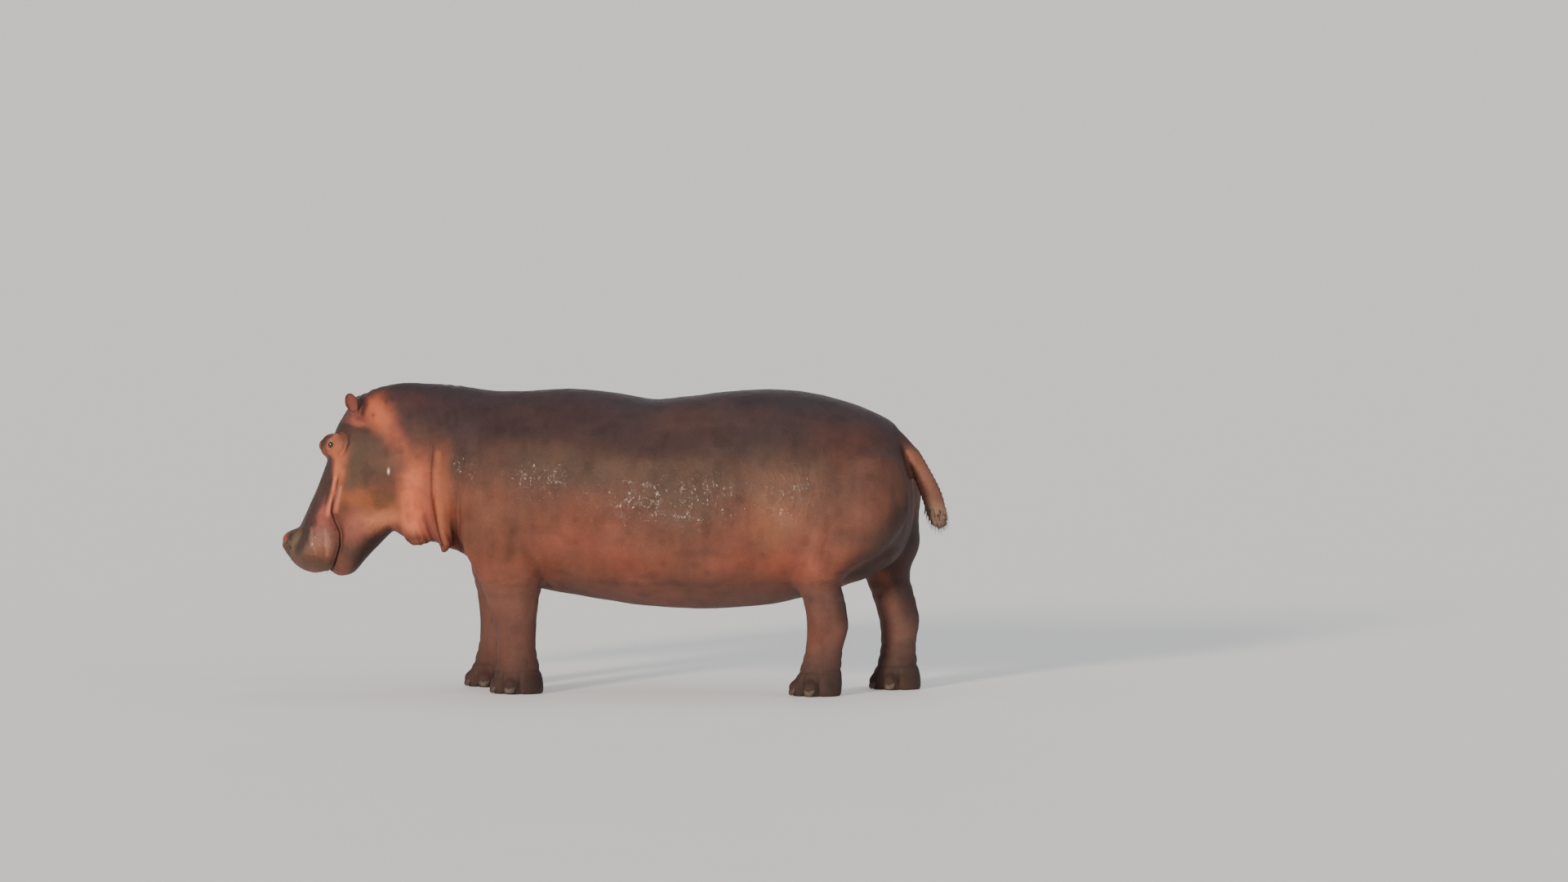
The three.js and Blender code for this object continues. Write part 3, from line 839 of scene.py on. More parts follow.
@dataclass
class Clay:
    """A mesh that is shaped point by point, in millimetres."""

    mesh: bpy.types.Mesh

    def read(self, rows: bpy.types.bpy_prop_collection, name: str) -> np.ndarray:
        """One vector for each of its N points."""
        flat = np.empty(len(self.mesh.vertices) * 3)
        rows.foreach_get(name, flat)
        return flat.reshape(-1, 3)

    def points(self) -> np.ndarray:
        """Its N by 3 points."""
        return self.read(self.mesh.vertices, "co")

    def put(self, points: np.ndarray) -> None:
        """Moves its points to N by 3 places."""
        self.mesh.vertices.foreach_set("co", points.astype(np.float32).ravel())
        self.mesh.update()

    def normals(self) -> np.ndarray:
        """Its N by 3 outward directions."""
        return self.read(self.mesh.vertex_normals, "vector")

    def relax(self, share: np.ndarray, rounds: int) -> None:
        """Evens the surface out.

        Args:
            share: how far each point moves to the middle of its neighbours in one round.
            rounds: how often.
        """
        n = len(self.mesh.vertices)
        pairs = np.empty(len(self.mesh.edges) * 2, np.int32)
        self.mesh.edges.foreach_get("vertices", pairs)
        a, b = pairs.reshape(-1, 2).T
        count = np.maximum(np.bincount(pairs, minlength=n), 1)
        points = self.points()
        for _ in range(rounds):
            for k in range(3):
                near = np.bincount(a, points[b, k], n) + np.bincount(b, points[a, k], n)
                points[:, k] += share * (near / count - points[:, k])
        self.put(points)

    def refine(self, chosen: np.ndarray) -> None:
        """Cuts every edge between chosen points in two, and rounds the new points in."""
        bm = bmesh.new()
        bm.from_mesh(self.mesh)
        edges = [e for e in bm.edges if chosen[e.verts[0].index] and chosen[e.verts[1].index]]
        before = len(bm.verts)
        bmesh.ops.subdivide_edges(bm, edges=edges, cuts=1, use_grid_fill=True)
        bm.to_mesh(self.mesh)
        bm.free()
        share = np.zeros(len(self.mesh.vertices))
        share[: len(chosen)] = 0.5 * chosen
        share[before:] = 0.5
        self.relax(share, 3)


def shown(made: bpy.types.Object) -> bpy.types.Object:
    """An object, once it is put into the scene."""
    bpy.context.scene.collection.objects.link(made)
    return made


def new_object(name: str, points: np.ndarray, faces: list, smooth: bool = True) -> bpy.types.Object:
    """A mesh object in the scene.

    Args:
        name: its name.
        points: N by 3 places.
        faces: lists of point numbers.
        smooth: whether its faces are shaded smooth.

    Returns:
        The object.
    """
    mesh = bpy.data.meshes.new(name)
    mesh.from_pydata(points.tolist(), [], faces)
    mesh.update()
    mesh.polygons.foreach_set("use_smooth", [smooth] * len(mesh.polygons))
    return shown(bpy.data.objects.new(name, mesh))


def joined(shells: list[tuple[np.ndarray, list]]) -> tuple[np.ndarray, list]:
    """Several shells as one set of points and faces."""
    points, faces, start = [], [], 0
    for p, f in shells:
        points.append(p)
        faces += [tuple(i + start for i in face) for face in f]
        start += len(p)
    return np.vstack(points), faces


def paint(mesh: bpy.types.Mesh, name: str, values: np.ndarray) -> None:
    """Stores one value, or one colour, for each point of a mesh."""
    if values.ndim == 1:
        mesh.attributes.new(name, "FLOAT", "POINT").data.foreach_set("value", values.astype(np.float32))
    else:
        rgba = np.hstack([values, np.ones((len(values), 1))]).astype(np.float32)
        mesh.color_attributes.new(name, "FLOAT_COLOR", "POINT").data.foreach_set("color", rgba.ravel())


@dataclass(frozen=True)
class Spread:
    """An oval region of the body where the skin is drawn smooth over a join."""

    at: tuple[float, float, float]
    size: tuple[float, float, float]
    in_head: bool = False

    def share(self, body: np.ndarray, head: np.ndarray) -> np.ndarray:
        """How much each point, given in both frames, belongs to it or to its twin."""
        return smooth_step(1.0, 0.55, oval(mirrored(head if self.in_head else body), self.at, self.size))


SPREADS = (
    Spread((-680, 270, 800), (270, 210, 250)),
    Spread((1000, 270, 820), (300, 230, 260)),
    Spread((-200, 0, -200), (210, 330, 300), True),
    Spread((-1040, 200, 850), (190, 210, 230)),
    Spread((115, 150, -230), (270, 140, 200), True),
    Spread((425, 170, -120), (190, 90, 90), True),
    Spread((1190, 0, 1230), (120, 110, 120)),
    Spread((-1330, 0, 950), (120, 200, 160)),
)


@dataclass
class Skin:
    """The hide: one closed surface over head, neck, trunk, legs, ears and tail.

    The raw forms lie depth inside their stations and are cut at section. The lids are a ball of
    radius lid set lid_back behind the eyeball's centre, open over the almond's half width and half
    height, and the socket behind them lies at the share seat of the eyeball's radius.
    """

    depth: float = 3.5
    voxel: float = 10.0
    section: float = 12.0
    around: int = 96
    lid: float = 36.0
    lid_back: float = 17.0
    orbit_ring: float = 37.0
    almond: tuple[float, float] = (0.80, 0.66)
    lid_reach: float = 60.0
    seat: float = 0.70
    clay: Clay = field(init=False)

    def shells(self) -> list[tuple[np.ndarray, list]]:
        """The flesh forms, in the animal's frame."""
        made = [form.shell(self.section, self.around, self.depth) for form in (TRUNK, TAIL)]
        for form in (SKULL, JAW):
            points, faces = form.shell(self.section, self.around, self.depth)
            made.append((moved(points, HEAD), faces))
        for side in (1, -1):
            for at, size in MOUNDS:
                points, faces = ball(on_side(at, side), np.array(size) - self.depth)
                made.append((moved(points, HEAD), faces))
            for at, size in FOLDS:
                made.append(ball(on_side(at, side), np.array(size) - self.depth))
        for leg in LEGS:
            made.append(leg.form().shell(self.section, self.around, self.depth))
            for matrix in leg.toe_matrices():
                points, faces = ball(*TOE)
                made.append((moved(points, matrix), faces))
        for ear in EARS:
            made += ear.shells()
        return made

    def build(self) -> bpy.types.Object:
        """Joins the forms, smooths the joins and sculpts the surface.

        Returns:
            The skin, in millimetres still.
        """
        raw = new_object("raw_skin", *joined(self.shells()))
        remesh = raw.modifiers.new("one", "REMESH")
        remesh.mode, remesh.voxel_size, remesh.adaptivity = "VOXEL", self.voxel, 0.0
        mesh = bpy.data.meshes.new_from_object(raw.evaluated_get(bpy.context.evaluated_depsgraph_get()))
        bpy.data.objects.remove(raw)
        mesh.name = "skin"
        self.clay = Clay(mesh)
        self.keep_largest()
        self.smooth_joins()
        for chosen in (self.near_head, self.near_features, self.near_openings):
            points = self.clay.points()
            self.clay.refine(chosen(points, moved(points, TO_HEAD)))
        self.sculpt()
        self.hollow_ears()
        self.open_eyes()
        self.set_feet()
        mesh.polygons.foreach_set("use_smooth", [True] * len(mesh.polygons))
        return shown(bpy.data.objects.new("skin", mesh))

    def keep_largest(self) -> None:
        """Removes any small closed bubble left inside by the joining."""
        bm = bmesh.new()
        bm.from_mesh(self.clay.mesh)
        bm.verts.ensure_lookup_table()
        label = np.full(len(bm.verts), -1)
        for seed in range(len(bm.verts)):
            if label[seed] >= 0:
                continue
            label[seed], stack = seed, [bm.verts[seed]]
            while stack:
                for edge in stack.pop().link_edges:
                    for v in edge.verts:
                        if label[v.index] < 0:
                            label[v.index] = seed
                            stack.append(v)
        biggest = np.bincount(label).argmax()
        bmesh.ops.delete(bm, geom=[v for v in bm.verts if label[v.index] != biggest], context="VERTS")
        bm.to_mesh(self.clay.mesh)
        bm.free()

    def thin_parts(self, points: np.ndarray) -> np.ndarray:
        """How much each point belongs to an ear, the tail or a foot, from 0 to 1."""
        share = tail_share(points)
        for ear in EARS:
            near = oval(ear.own(points), *ear.around)
            share = np.maximum(share, smooth_step(1.1, 0.85, near))
        return np.maximum(share, smooth_step(150, 60, points[:, 2]))

    def smooth_joins(self) -> None:
        """Draws the skin smooth, most of all over the joins."""
        points = self.clay.points()
        head = moved(points, TO_HEAD)
        thin = self.thin_parts(points)
        scale = (10.0 / self.voxel) ** 2
        self.clay.relax(0.6 - 0.45 * thin, max(2, round(8 * scale)))
        share = np.max([s.share(points, head) for s in SPREADS], axis=0) * (1 - thin)
        self.clay.relax(0.6 * share, max(6, round(46 * scale)))

    def near_head(self, body: np.ndarray, head: np.ndarray) -> np.ndarray:
        """Whether each point is on the head, the neck's folds, the feet or the tail's tip."""
        neck = (body[:, 0] < -900) & (body[:, 2] > 560)
        foot = (body[:, 2] < 150) & (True)
        tail = (body[:, 0] > 1150) & (body[:, 2] < 1150) & (np.abs(body[:, 1]) < 80)
        flank = (wetness(Halves(body, 0 * body).sheet) > 0.25) & (np.abs(body[:, 1]) > 250) & (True)
        return neck | foot | tail | flank

    def near_features(self, body: np.ndarray, head: np.ndarray) -> np.ndarray:
        """Whether each point is near an eye, an ear, the lips, the nostrils or the first neck fold."""
        flat = mirrored(head)
        near = np.any([oval(flat, *part) < 1 for part in FINE_OVALS], axis=0)
        mouth = to_line(head[:, [0, 2]], MOUTH_LINE.line())[0]
        near |= (mouth < 24) & (head[:, 1] ** 2 + (head[:, 0] - 330) ** 2 > 1e4)
        for ear in EARS:
            near |= oval(ear.own(body), *ear.fine) < 1
        sheet = Halves(body, 0 * body).sheet
        for crease in NECK_FOLDS:
            near |= (to_line(sheet, crease.line())[0] < 5) & (np.abs(body[:, 1]) > 100)
        return near

    def near_openings(self, body: np.ndarray, head: np.ndarray) -> np.ndarray:
        """Whether each point is on an eyelid or the edge of a nostril."""
        flat = mirrored(head)
        near = oval(flat, EYE.at, (self.lid,) * 3) < 1
        slit = to_line(flat[:, :2], SLIT.line())[0]
        return near | ((slit < 20) & (flat[:, 2] > -10) & (flat[:, 0] > 430))

    def sculpt(self) -> None:
        """Presses the folds, ridges and wrinkles in along the skin's own directions."""
        points, normals = self.clay.points(), self.clay.normals()
        seen = Halves(points, normals)
        head, own = seen.head, seen.own
        facing = smooth_step(-0.05, 0.30, seen.facing)
        out = np.zeros(len(points))
        for crease in SHEET_CREASES:
            out += crease.push(seen.sheet, OUTLOOK.step) * facing * (1 + (crease.right - 1) * seen.right)
        for swell in SHEET_SWELLS:
            out += swell.share(seen.sheet) * facing * (1 + (swell.right - 1) * seen.right)
        for folds in FOLD_FIELDS:
            out += folds.push(seen.sheet, points) * facing
        sided = smooth_step(0.10, 0.45, np.maximum(np.abs(own[:, 1]), own[:, 0])) * seen.of_head
        for crease in HEAD_CREASES:
            mask = sided if crease is MOUTH_LINE else sided * (np.abs(head[:, 1]) > 60)
            out += crease.push(head[:, [0, 2]], 1.0) * mask
        flat = mirrored(head)[:, :2]
        top = smooth_step(0.2, 0.6, own[:, 2]) * seen.of_head * (head[:, 2] > -20)
        rise = NOSTRIL_SWELL.share(flat) * smooth_step(-60, 0, head[:, 2])
        out += rise * smooth_step(-0.2, 0.4, own[:, 2]) * seen.of_head
        out += SLIT.push(flat, 1.0) * top
        out += self.wrinkles(points, seen) * (1 - self.thin_parts(points))
        out += self.leg_rings(points) + self.rump(points)
        self.clay.put(points + normals * out[:, None])
        self.clay.relax(np.full(len(points), 0.25), 1)

    def wrinkles(self, points: np.ndarray, seen: Halves) -> np.ndarray:
        """Soft lumps, and fine folds across the neck, shoulder and throat.

        Args:
            points: N by 3 places.
            seen: the same points mirrored onto the left side.

        Returns:
            N distances outwards.
        """
        broad, bend = Noise(11), Noise(13)
        out = 4.0 * broad.at(points + 5000, 260) + 1.6 * broad.at(points + 9000, 95)
        out += 0.9 * WINDING.at(points + 5000, 38)
        wide = np.abs(seen.lateral)
        out += 2.3 * curls(points) * wetness(seen.sheet) * smooth_step(0.1, 0.4, seen.facing)
        wave = points[:, 0] + 0.25 * (points[:, 2] - 1000) + 40 * bend.at(points + 5000, 160)
        neck = smooth_step(-820, -980, points[:, 0]) * smooth_step(0.6, 0.2, seen.of_head)
        neck *= smooth_step(0.0, 0.5, bend.at(points, 210) + 0.4)
        out += 1.7 * np.sin(wave / 46 * TAU) * neck
        flank = smooth_step(1000, 700, points[:, 2]) * smooth_step(120, 300, wide)
        slope = points[:, 2] + 0.5 * points[:, 0] + 60 * bend.at(points + 3000, 220)
        flank *= smooth_step(0.1, 0.5, bend.at(points + 700, 330))
        return out + 0.9 * np.sin(slope / 60 * TAU) * flank

    def leg_rings(self, points: np.ndarray) -> np.ndarray:
        """Folds round the ankles, elbows and tail, as N distances outwards."""
        out = np.zeros(len(points))
        low = smooth_step(640, 560, points[:, 2])
        level = points[:, 2] + Noise(21).at(points + 4000, 120) * 12
        for height, depth, width in LEG_FOLDS:
            t = (level - height) / width
            out -= depth * np.exp(-t * t) * low
        ring = np.sin((points[:, 2] + 5 * BENDING.at(points + 300, 40)) / 23 * TAU)
        tail = tail_share(points)
        out += 1.5 * ring * tail * (points[:, 2] < 1130) + 7 * tail * smooth_step(1100, 940, points[:, 2])
        for leg in LEGS:
            for matrix in leg.toe_matrices():
                own = moved(points, matrix.inverted())
                front = (own[:, 0] > 60) & (own[:, 0] < 170) & (np.abs(own[:, 1]) < 70)
                for y in (-38, 38):
                    gap = np.exp(-(((own[:, 1] - y * (own[:, 0] / 88)) / 9) ** 2)) * front
                    out -= 8 * gap * smooth_step(120, 60, own[:, 2])
                out += 9 * smooth_step(1.15, 0.3, oval(own, *TOE_TOP))
        return out

    def rump(self, points: np.ndarray) -> np.ndarray:
        """The groove below the tail and the round of each buttock, as N distances outwards."""
        behind = smooth_step(1040, 1140, points[:, 0]) * (1 - tail_share(points))
        tall = smooth_step(560, 640, points[:, 2]) * smooth_step(1180, 1020, points[:, 2])
        groove = np.exp(-((points[:, 1] / 48) ** 2))
        round_off = np.exp(-(((np.abs(points[:, 1]) - 150) / 80) ** 2)) * smooth_step(600, 700, points[:, 2])
        return behind * tall * (6 * round_off - 8 * groove)

    def hollow_ears(self) -> None:
        """Presses the front of each ear in to a cup with a rolled edge."""
        points = self.clay.points()
        for ear in EARS:
            own = ear.own(points)
            blade = ear.share(own) * smooth_step(12, 45, own[:, 2])
            own[:, 1] *= 1 + 0.15 * blade
            own[:, 0] *= 1 - 0.25 * blade * smooth_step(0.5, 1.0, ear.across(own))
            e = ear.across(own) ** 2 * 1.06
            cup = (e < 0.9) & (own[:, 0] > 0) & (own[:, 2] > 0)
            own[cup, 0] -= ear.cup * (1 - e[cup] / 0.9) ** 0.55 * smooth_step(0, 10, own[cup, 0])
            points = np.where((cup | (blade > 0))[:, None], moved(own, ear.matrix()), points)
        self.clay.put(points)
        share = np.max([ear.share(ear.own(points)) for ear in EARS], axis=0)
        self.clay.relax(0.5 * share, 2)

    def open_eyes(self) -> None:
        """Wraps lids over the eyeballs, with an almond opening and folds round it."""
        points = self.clay.points()
        for side in (1, -1):
            centre, axes = EYE.centre(side), EYE.axes(side)
            points = self.raise_orbit(points, side)
            own = (points - centre) @ axes.T
            far = np.linalg.norm(own, axis=1)
            near = far < self.lid_reach
            unit = own[near] / far[near][:, None]
            angle = np.degrees(np.arccos(np.clip(unit[:, 2], -1, 1)))
            wide, tall = self.almond
            almond = np.hypot(unit[:, 0] / wide, (unit[:, 1] + 0.03) / tall) + (unit[:, 2] < 0) * 3
            rho, cos = far[near], unit[:, 2]
            fold = 0.9 * np.cos((almond - 1.12) / 0.36 * TAU) * np.exp(-((almond - 1.25) / 0.4) ** 2)
            wrapped = np.sqrt(self.lid**2 - self.lid_back**2 * (1 - cos * cos)) - self.lid_back * cos
            wrapped += fold * (almond > 1.05)
            round_off = 0.5 * (rho + wrapped + np.sqrt((rho - wrapped) ** 2 + 40))
            rho = rho + smooth_step(112, 84, angle) * (round_off - rho)
            inside = smooth_step(1.06, 0.94, almond)
            rho = rho + inside * (EYE.radius * self.seat - rho)
            points[near] = centre + (unit * rho[:, None]) @ axes
        self.clay.put(points)

    def raise_orbit(self, points: np.ndarray, side: int) -> np.ndarray:
        """Rounds the mound that carries one eye, with folds round its upper half.

        Args:
            points: N by 3 places.
            side: 1 for the left eye, -1 for the right.

        Returns:
            The places, raised.
        """
        at, size = on_side(EYE_MOUND[0], side), np.array(EYE_MOUND[1]) - self.depth
        head = moved(points, TO_HEAD)
        own = (head - at) / size
        r = np.linalg.norm(own, axis=1)
        near = (r > 0.25) & (r < 1.7)
        grown = 0.5 * (r[near] + 0.91 + np.sqrt((r[near] - 0.91) ** 2 + 0.02))
        grown = r[near] + (grown - r[near]) * smooth_step(1.7, 1.4, r[near])
        off = np.linalg.norm(head[near] - on_side(EYE.at, side), axis=1)
        above = smooth_step(-4, 16, head[near][:, 2] - EYE.at[2])
        ring = off - self.orbit_ring - 3 * BENDING.at(points[near], 30)
        grown -= 0.026 * above * np.exp(-((ring / 3.4) ** 2))
        head[near] = at + own[near] / r[near][:, None] * grown[:, None] * size
        points = points.copy()
        points[near] = moved(head[near], HEAD)
        return points

    def set_feet(self) -> None:
        """Flattens the soles onto the ground."""
        points = self.clay.points()
        low = points[:, 2] < 26
        points[low, 2] = np.maximum(0.0, points[low, 2] - 5.0 * (1 - points[low, 2] / 26) ** 2)
        self.clay.put(points)


# ---------------------------------------------------------------- markings, painted shade and painted highlights


def tone(red: float, green: float, blue: float) -> np.ndarray:
    """A display colour from 0 to 255 as linear light."""
    c = np.array([red, green, blue]) / 255
    return np.where(c <= 0.04045, c / 12.92, ((c + 0.055) / 1.055) ** 2.4)


def rgba(colour: tuple[int, int, int]) -> tuple:
    """A display colour as a shader takes it."""
    return (*tone(*colour), 1)


def laid(base: np.ndarray, colour: tuple, share: np.ndarray) -> np.ndarray:
    """Linear colours with a display colour laid over them by a share at each."""
    return base + (tone(*colour) - base) * share[:, None]


@dataclass(frozen=True)
class Patch:
    """An oval of one colour on the side sheet, on the head alone where it says so; some are the hide's own
    marks and some are painted shade.
    """

    colour: tuple[float, float, float]
    zone: Zone
    face: bool = False


@dataclass(frozen=True)
class Streak:
    """A band of colour along a line on the side sheet, whose corners each give a place and the half width;
    some are the hide's own marks, some painted shade and shadows, some painted highlights.
    """

    colour: tuple[float, float, float]
    corners: tuple[tuple[float, float, float], ...]
    value: float = 0.9

    def share(self, flat: np.ndarray) -> np.ndarray:
        """How much of the marking each of N flat places takes."""
        away, width = along_line(flat, self.corners)
        return self.value * np.exp(-((away / width) ** 2.4))


@dataclass(frozen=True)
class HideTones:
    """The hide's colours, and where each lies; the tones for the shade behind the thighs and on the orbits,
    and some of the patches and streaks, are painted shade, painted shadows or painted highlights.
    """

    back: tuple = (58, 43, 47)
    flank: tuple = (84, 60, 51)
    low: tuple = (112, 68, 54)
    belly: tuple = (127, 73, 57)
    leg: tuple = (104, 68, 58)
    foot: tuple = (64, 47, 43)
    snout: tuple = (67, 49, 46)
    ear: tuple = (128, 72, 62)
    cup: tuple = (100, 54, 46)
    # painted shade behind and between the thighs
    rear_shade: tuple = (46, 36, 35)
    # painted shade for the orbits' sides towards the head's middle
    orbit_shade: tuple = (72, 52, 47)
    tail: tuple = (132, 88, 74)
    tip: tuple = (130, 110, 93)
    fleck: tuple = (240, 226, 200)
    levels: tuple = (460, 516, 572, 640, 690)
    orbit_at: tuple = (0, 134, -28)
    fleck_zone: Zone = Zone((477, 577), (1.3, 3.4), 1.0)
    patches: tuple = (
        Patch((92, 58, 55), Zone((500, 486), (40, 14), 0.5)),
        Patch((198, 103, 70), Zone((466, 506), (21, 26), 0.95, -12)),
        Patch((186, 98, 72), Zone((484, 545), (15, 26), 0.7, -20)),
        Patch((200, 118, 88), Zone((410, 543), (15, 20), 1.0)),
        Patch((190, 108, 76), Zone((415, 572), (7, 24), 0.9, -10)),
        Patch((98, 64, 60), Zone((427, 514), (10, 14), 0.8)),
        Patch((170, 92, 70), Zone((440, 520), (13, 6), 0.7, 15)),
        Patch((206, 113, 80), Zone((511, 604), (21, 48), 1.0)),
        Patch((210, 116, 84), Zone((505, 640), (15, 20), 0.8)),
        Patch((143, 83, 57), Zone((546, 606), (13, 54), 0.9)),
        Patch((148, 84, 52), Zone((446, 612), (34, 20), 0.9, 20), True),
        Patch((112, 78, 48), Zone((466, 612), (12, 10), 0.6), True),
        Patch((212, 130, 96), Zone((462, 636), (30, 13), 0.95, -15), True),
        Patch((150, 84, 74), Zone((430, 648), (16, 22), 0.8), True),
        Patch((94, 70, 57), Zone((448, 558), (33, 24), 0.85, 10), True),
        Patch((70, 54, 48), Zone((426, 590), (9, 14), 0.6)),
        Patch((80, 58, 52), Zone((512, 522), (22, 26), 0.7)),
        Patch((148, 84, 74), Zone((391, 622), (10, 30), 0.9, 14)),
        Patch((168, 94, 84), Zone((393, 640), (16, 14), 0.9)),
        Patch((168, 108, 88), Zone((397, 664), (16, 20), 0.9)),
        Patch((98, 80, 65), Zone((364, 668), (18, 28), 0.95)),
        Patch((84, 68, 56), Zone((390, 694), (30, 13), 0.8)),
        Patch((98, 70, 58), Zone((424, 676), (16, 14), 0.7), True),
        # painted shade along the underside of the jaw
        Patch((56, 40, 33), Zone((448, 672), (32, 15), 0.95, -33), True),
        Patch((123, 75, 58), Zone((600, 620), (40, 44), 0.7)),
        Patch((140, 80, 62), Zone((650, 668), (60, 16), 0.6)),
        Patch((112, 72, 60), Zone((1060, 600), (44, 60), 0.6)),
        Patch((150, 90, 76), Zone((1000, 672), (44, 18), 0.6)),
        Patch((70, 50, 46), Zone((620, 505), (60, 18), 0.6)),
        Patch((104, 60, 46), Zone((608, 668), (52, 20), 0.85)),
        Patch((112, 68, 56), Zone((866, 670), (60, 15), 0.75)),
        Patch((110, 68, 56), Zone((1016, 668), (24, 16), 0.6)),
        Patch((60, 45, 46), Zone((720, 482), (60, 12), 0.6)),
        Patch((106, 72, 62), Zone((485, 568), (22, 18), 0.6), True),
        Patch((90, 74, 54), Zone((433, 580), (10, 17), 0.55), True),
        # painted shade on the jowl beside the first neck crease
        Patch((92, 52, 46), Zone((526, 650), (5, 26), 0.6, -6)),
        Patch((110, 62, 52), Zone((506, 660), (12, 5), 0.6)),
        Patch((190, 100, 84), Zone((351, 657), (3, 8), 0.8), True),
        Patch((92, 71, 60), Zone((850, 610), (98, 44), 0.65)),
        Patch((140, 78, 62), Zone((732, 652), (60, 30), 0.5)),
        Patch((158, 96, 66), Zone((950, 652), (34, 26), 0.6)),
        Patch((150, 104, 82), Zone((962, 610), (46, 46), 0.4)),
        Patch((90, 70, 60), Zone((776, 576), (84, 20), 0.65)),
        # painted shade at the back of the near thigh
        Patch((88, 60, 52), Zone((1078, 644), (36, 34), 0.3)),
        Patch((86, 62, 56), Zone((866, 512), (124, 22), 0.6)),
        Patch((142, 88, 74), Zone((1002, 640), (26, 18), 0.5)),
        Patch((84, 53, 46), Zone((1040, 540), (60, 26), 0.5, 15)),
        Patch((92, 70, 58), Zone((690, 560), (60, 24), 0.5)),
    )
    streaks: tuple = (
        Streak((198, 112, 76), ((415, 556, 9), (412, 573, 5), (411, 584, 3)), 0.9),
        Streak((216, 124, 102), ((411, 586, 2), (409, 604, 2.2), (404, 619, 2.4), (402, 630, 3)), 0.9),
        Streak((204, 124, 102), ((418, 596, 2), (415, 612, 2.4), (412, 626, 3)), 0.55),
        # painted highlight on the lit front edge of the second neck fold
        Streak((206, 122, 90), ((538, 556, 4), (537, 600, 5), (540, 630, 5), (547, 664, 4)), 0.3),
        Streak((76, 56, 53), ((404, 566, 6), (400, 585, 8), (393, 604, 8), (388, 618, 6)), 0.85),
        # painted shadow in the gap between the near ear and the head
        Streak((76, 44, 42), ((444, 483, 3), (447, 495, 3.6), (445, 507, 2.6)), 0.95),
        # painted highlights: wet sheen on the upper lip
        Streak((196, 146, 120), ((382, 646, 1.6), (384, 662, 2.2), (388, 678, 1.4)), 0.22),
        Streak((200, 150, 124), ((399, 648, 1.6), (401, 664, 2.2), (402, 680, 1.4)), 0.22),
        # painted highlight on the lit left edge of the tail
        Streak((200, 138, 110), ((1110, 553, 2), (1118, 567, 4), (1126, 588, 5), (1132, 612, 5)), 0.6),
        # painted shadow of the tail on the rump
        Streak((58, 38, 38), ((1101, 548, 2.5), (1110, 566, 3), (1118, 586, 3), (1124, 604, 2)), 0.75),
        # painted shade along the lower back edge of the near thigh
        Streak((66, 47, 43), ((1040, 704, 8), (1075, 690, 9), (1104, 662, 8)), 0.75),
        # painted shade on the jowl beside the first neck crease
        Streak((150, 82, 72), ((523, 560, 3), (524, 600, 4), (527, 640, 5), (532, 666, 5)), 0.5),
    )


LEG_TOP = 480.0
RAGGED_EDGES = ((230, 8.0), (85, 5.0), (34, 2.6))  # each wave's size, and how far it tears an edge
STREAK_TEAR = 0.15  # the share of that tearing which streaks take
MOLES = (  # on the side sheet: across, down, size and strength
    (458, 508, 2.2, 0.45),
    (474, 492, 2.0, 0.35),
    (500, 664, 5.0, 0.45),
    (512, 560, 2.5, 0.2),
)


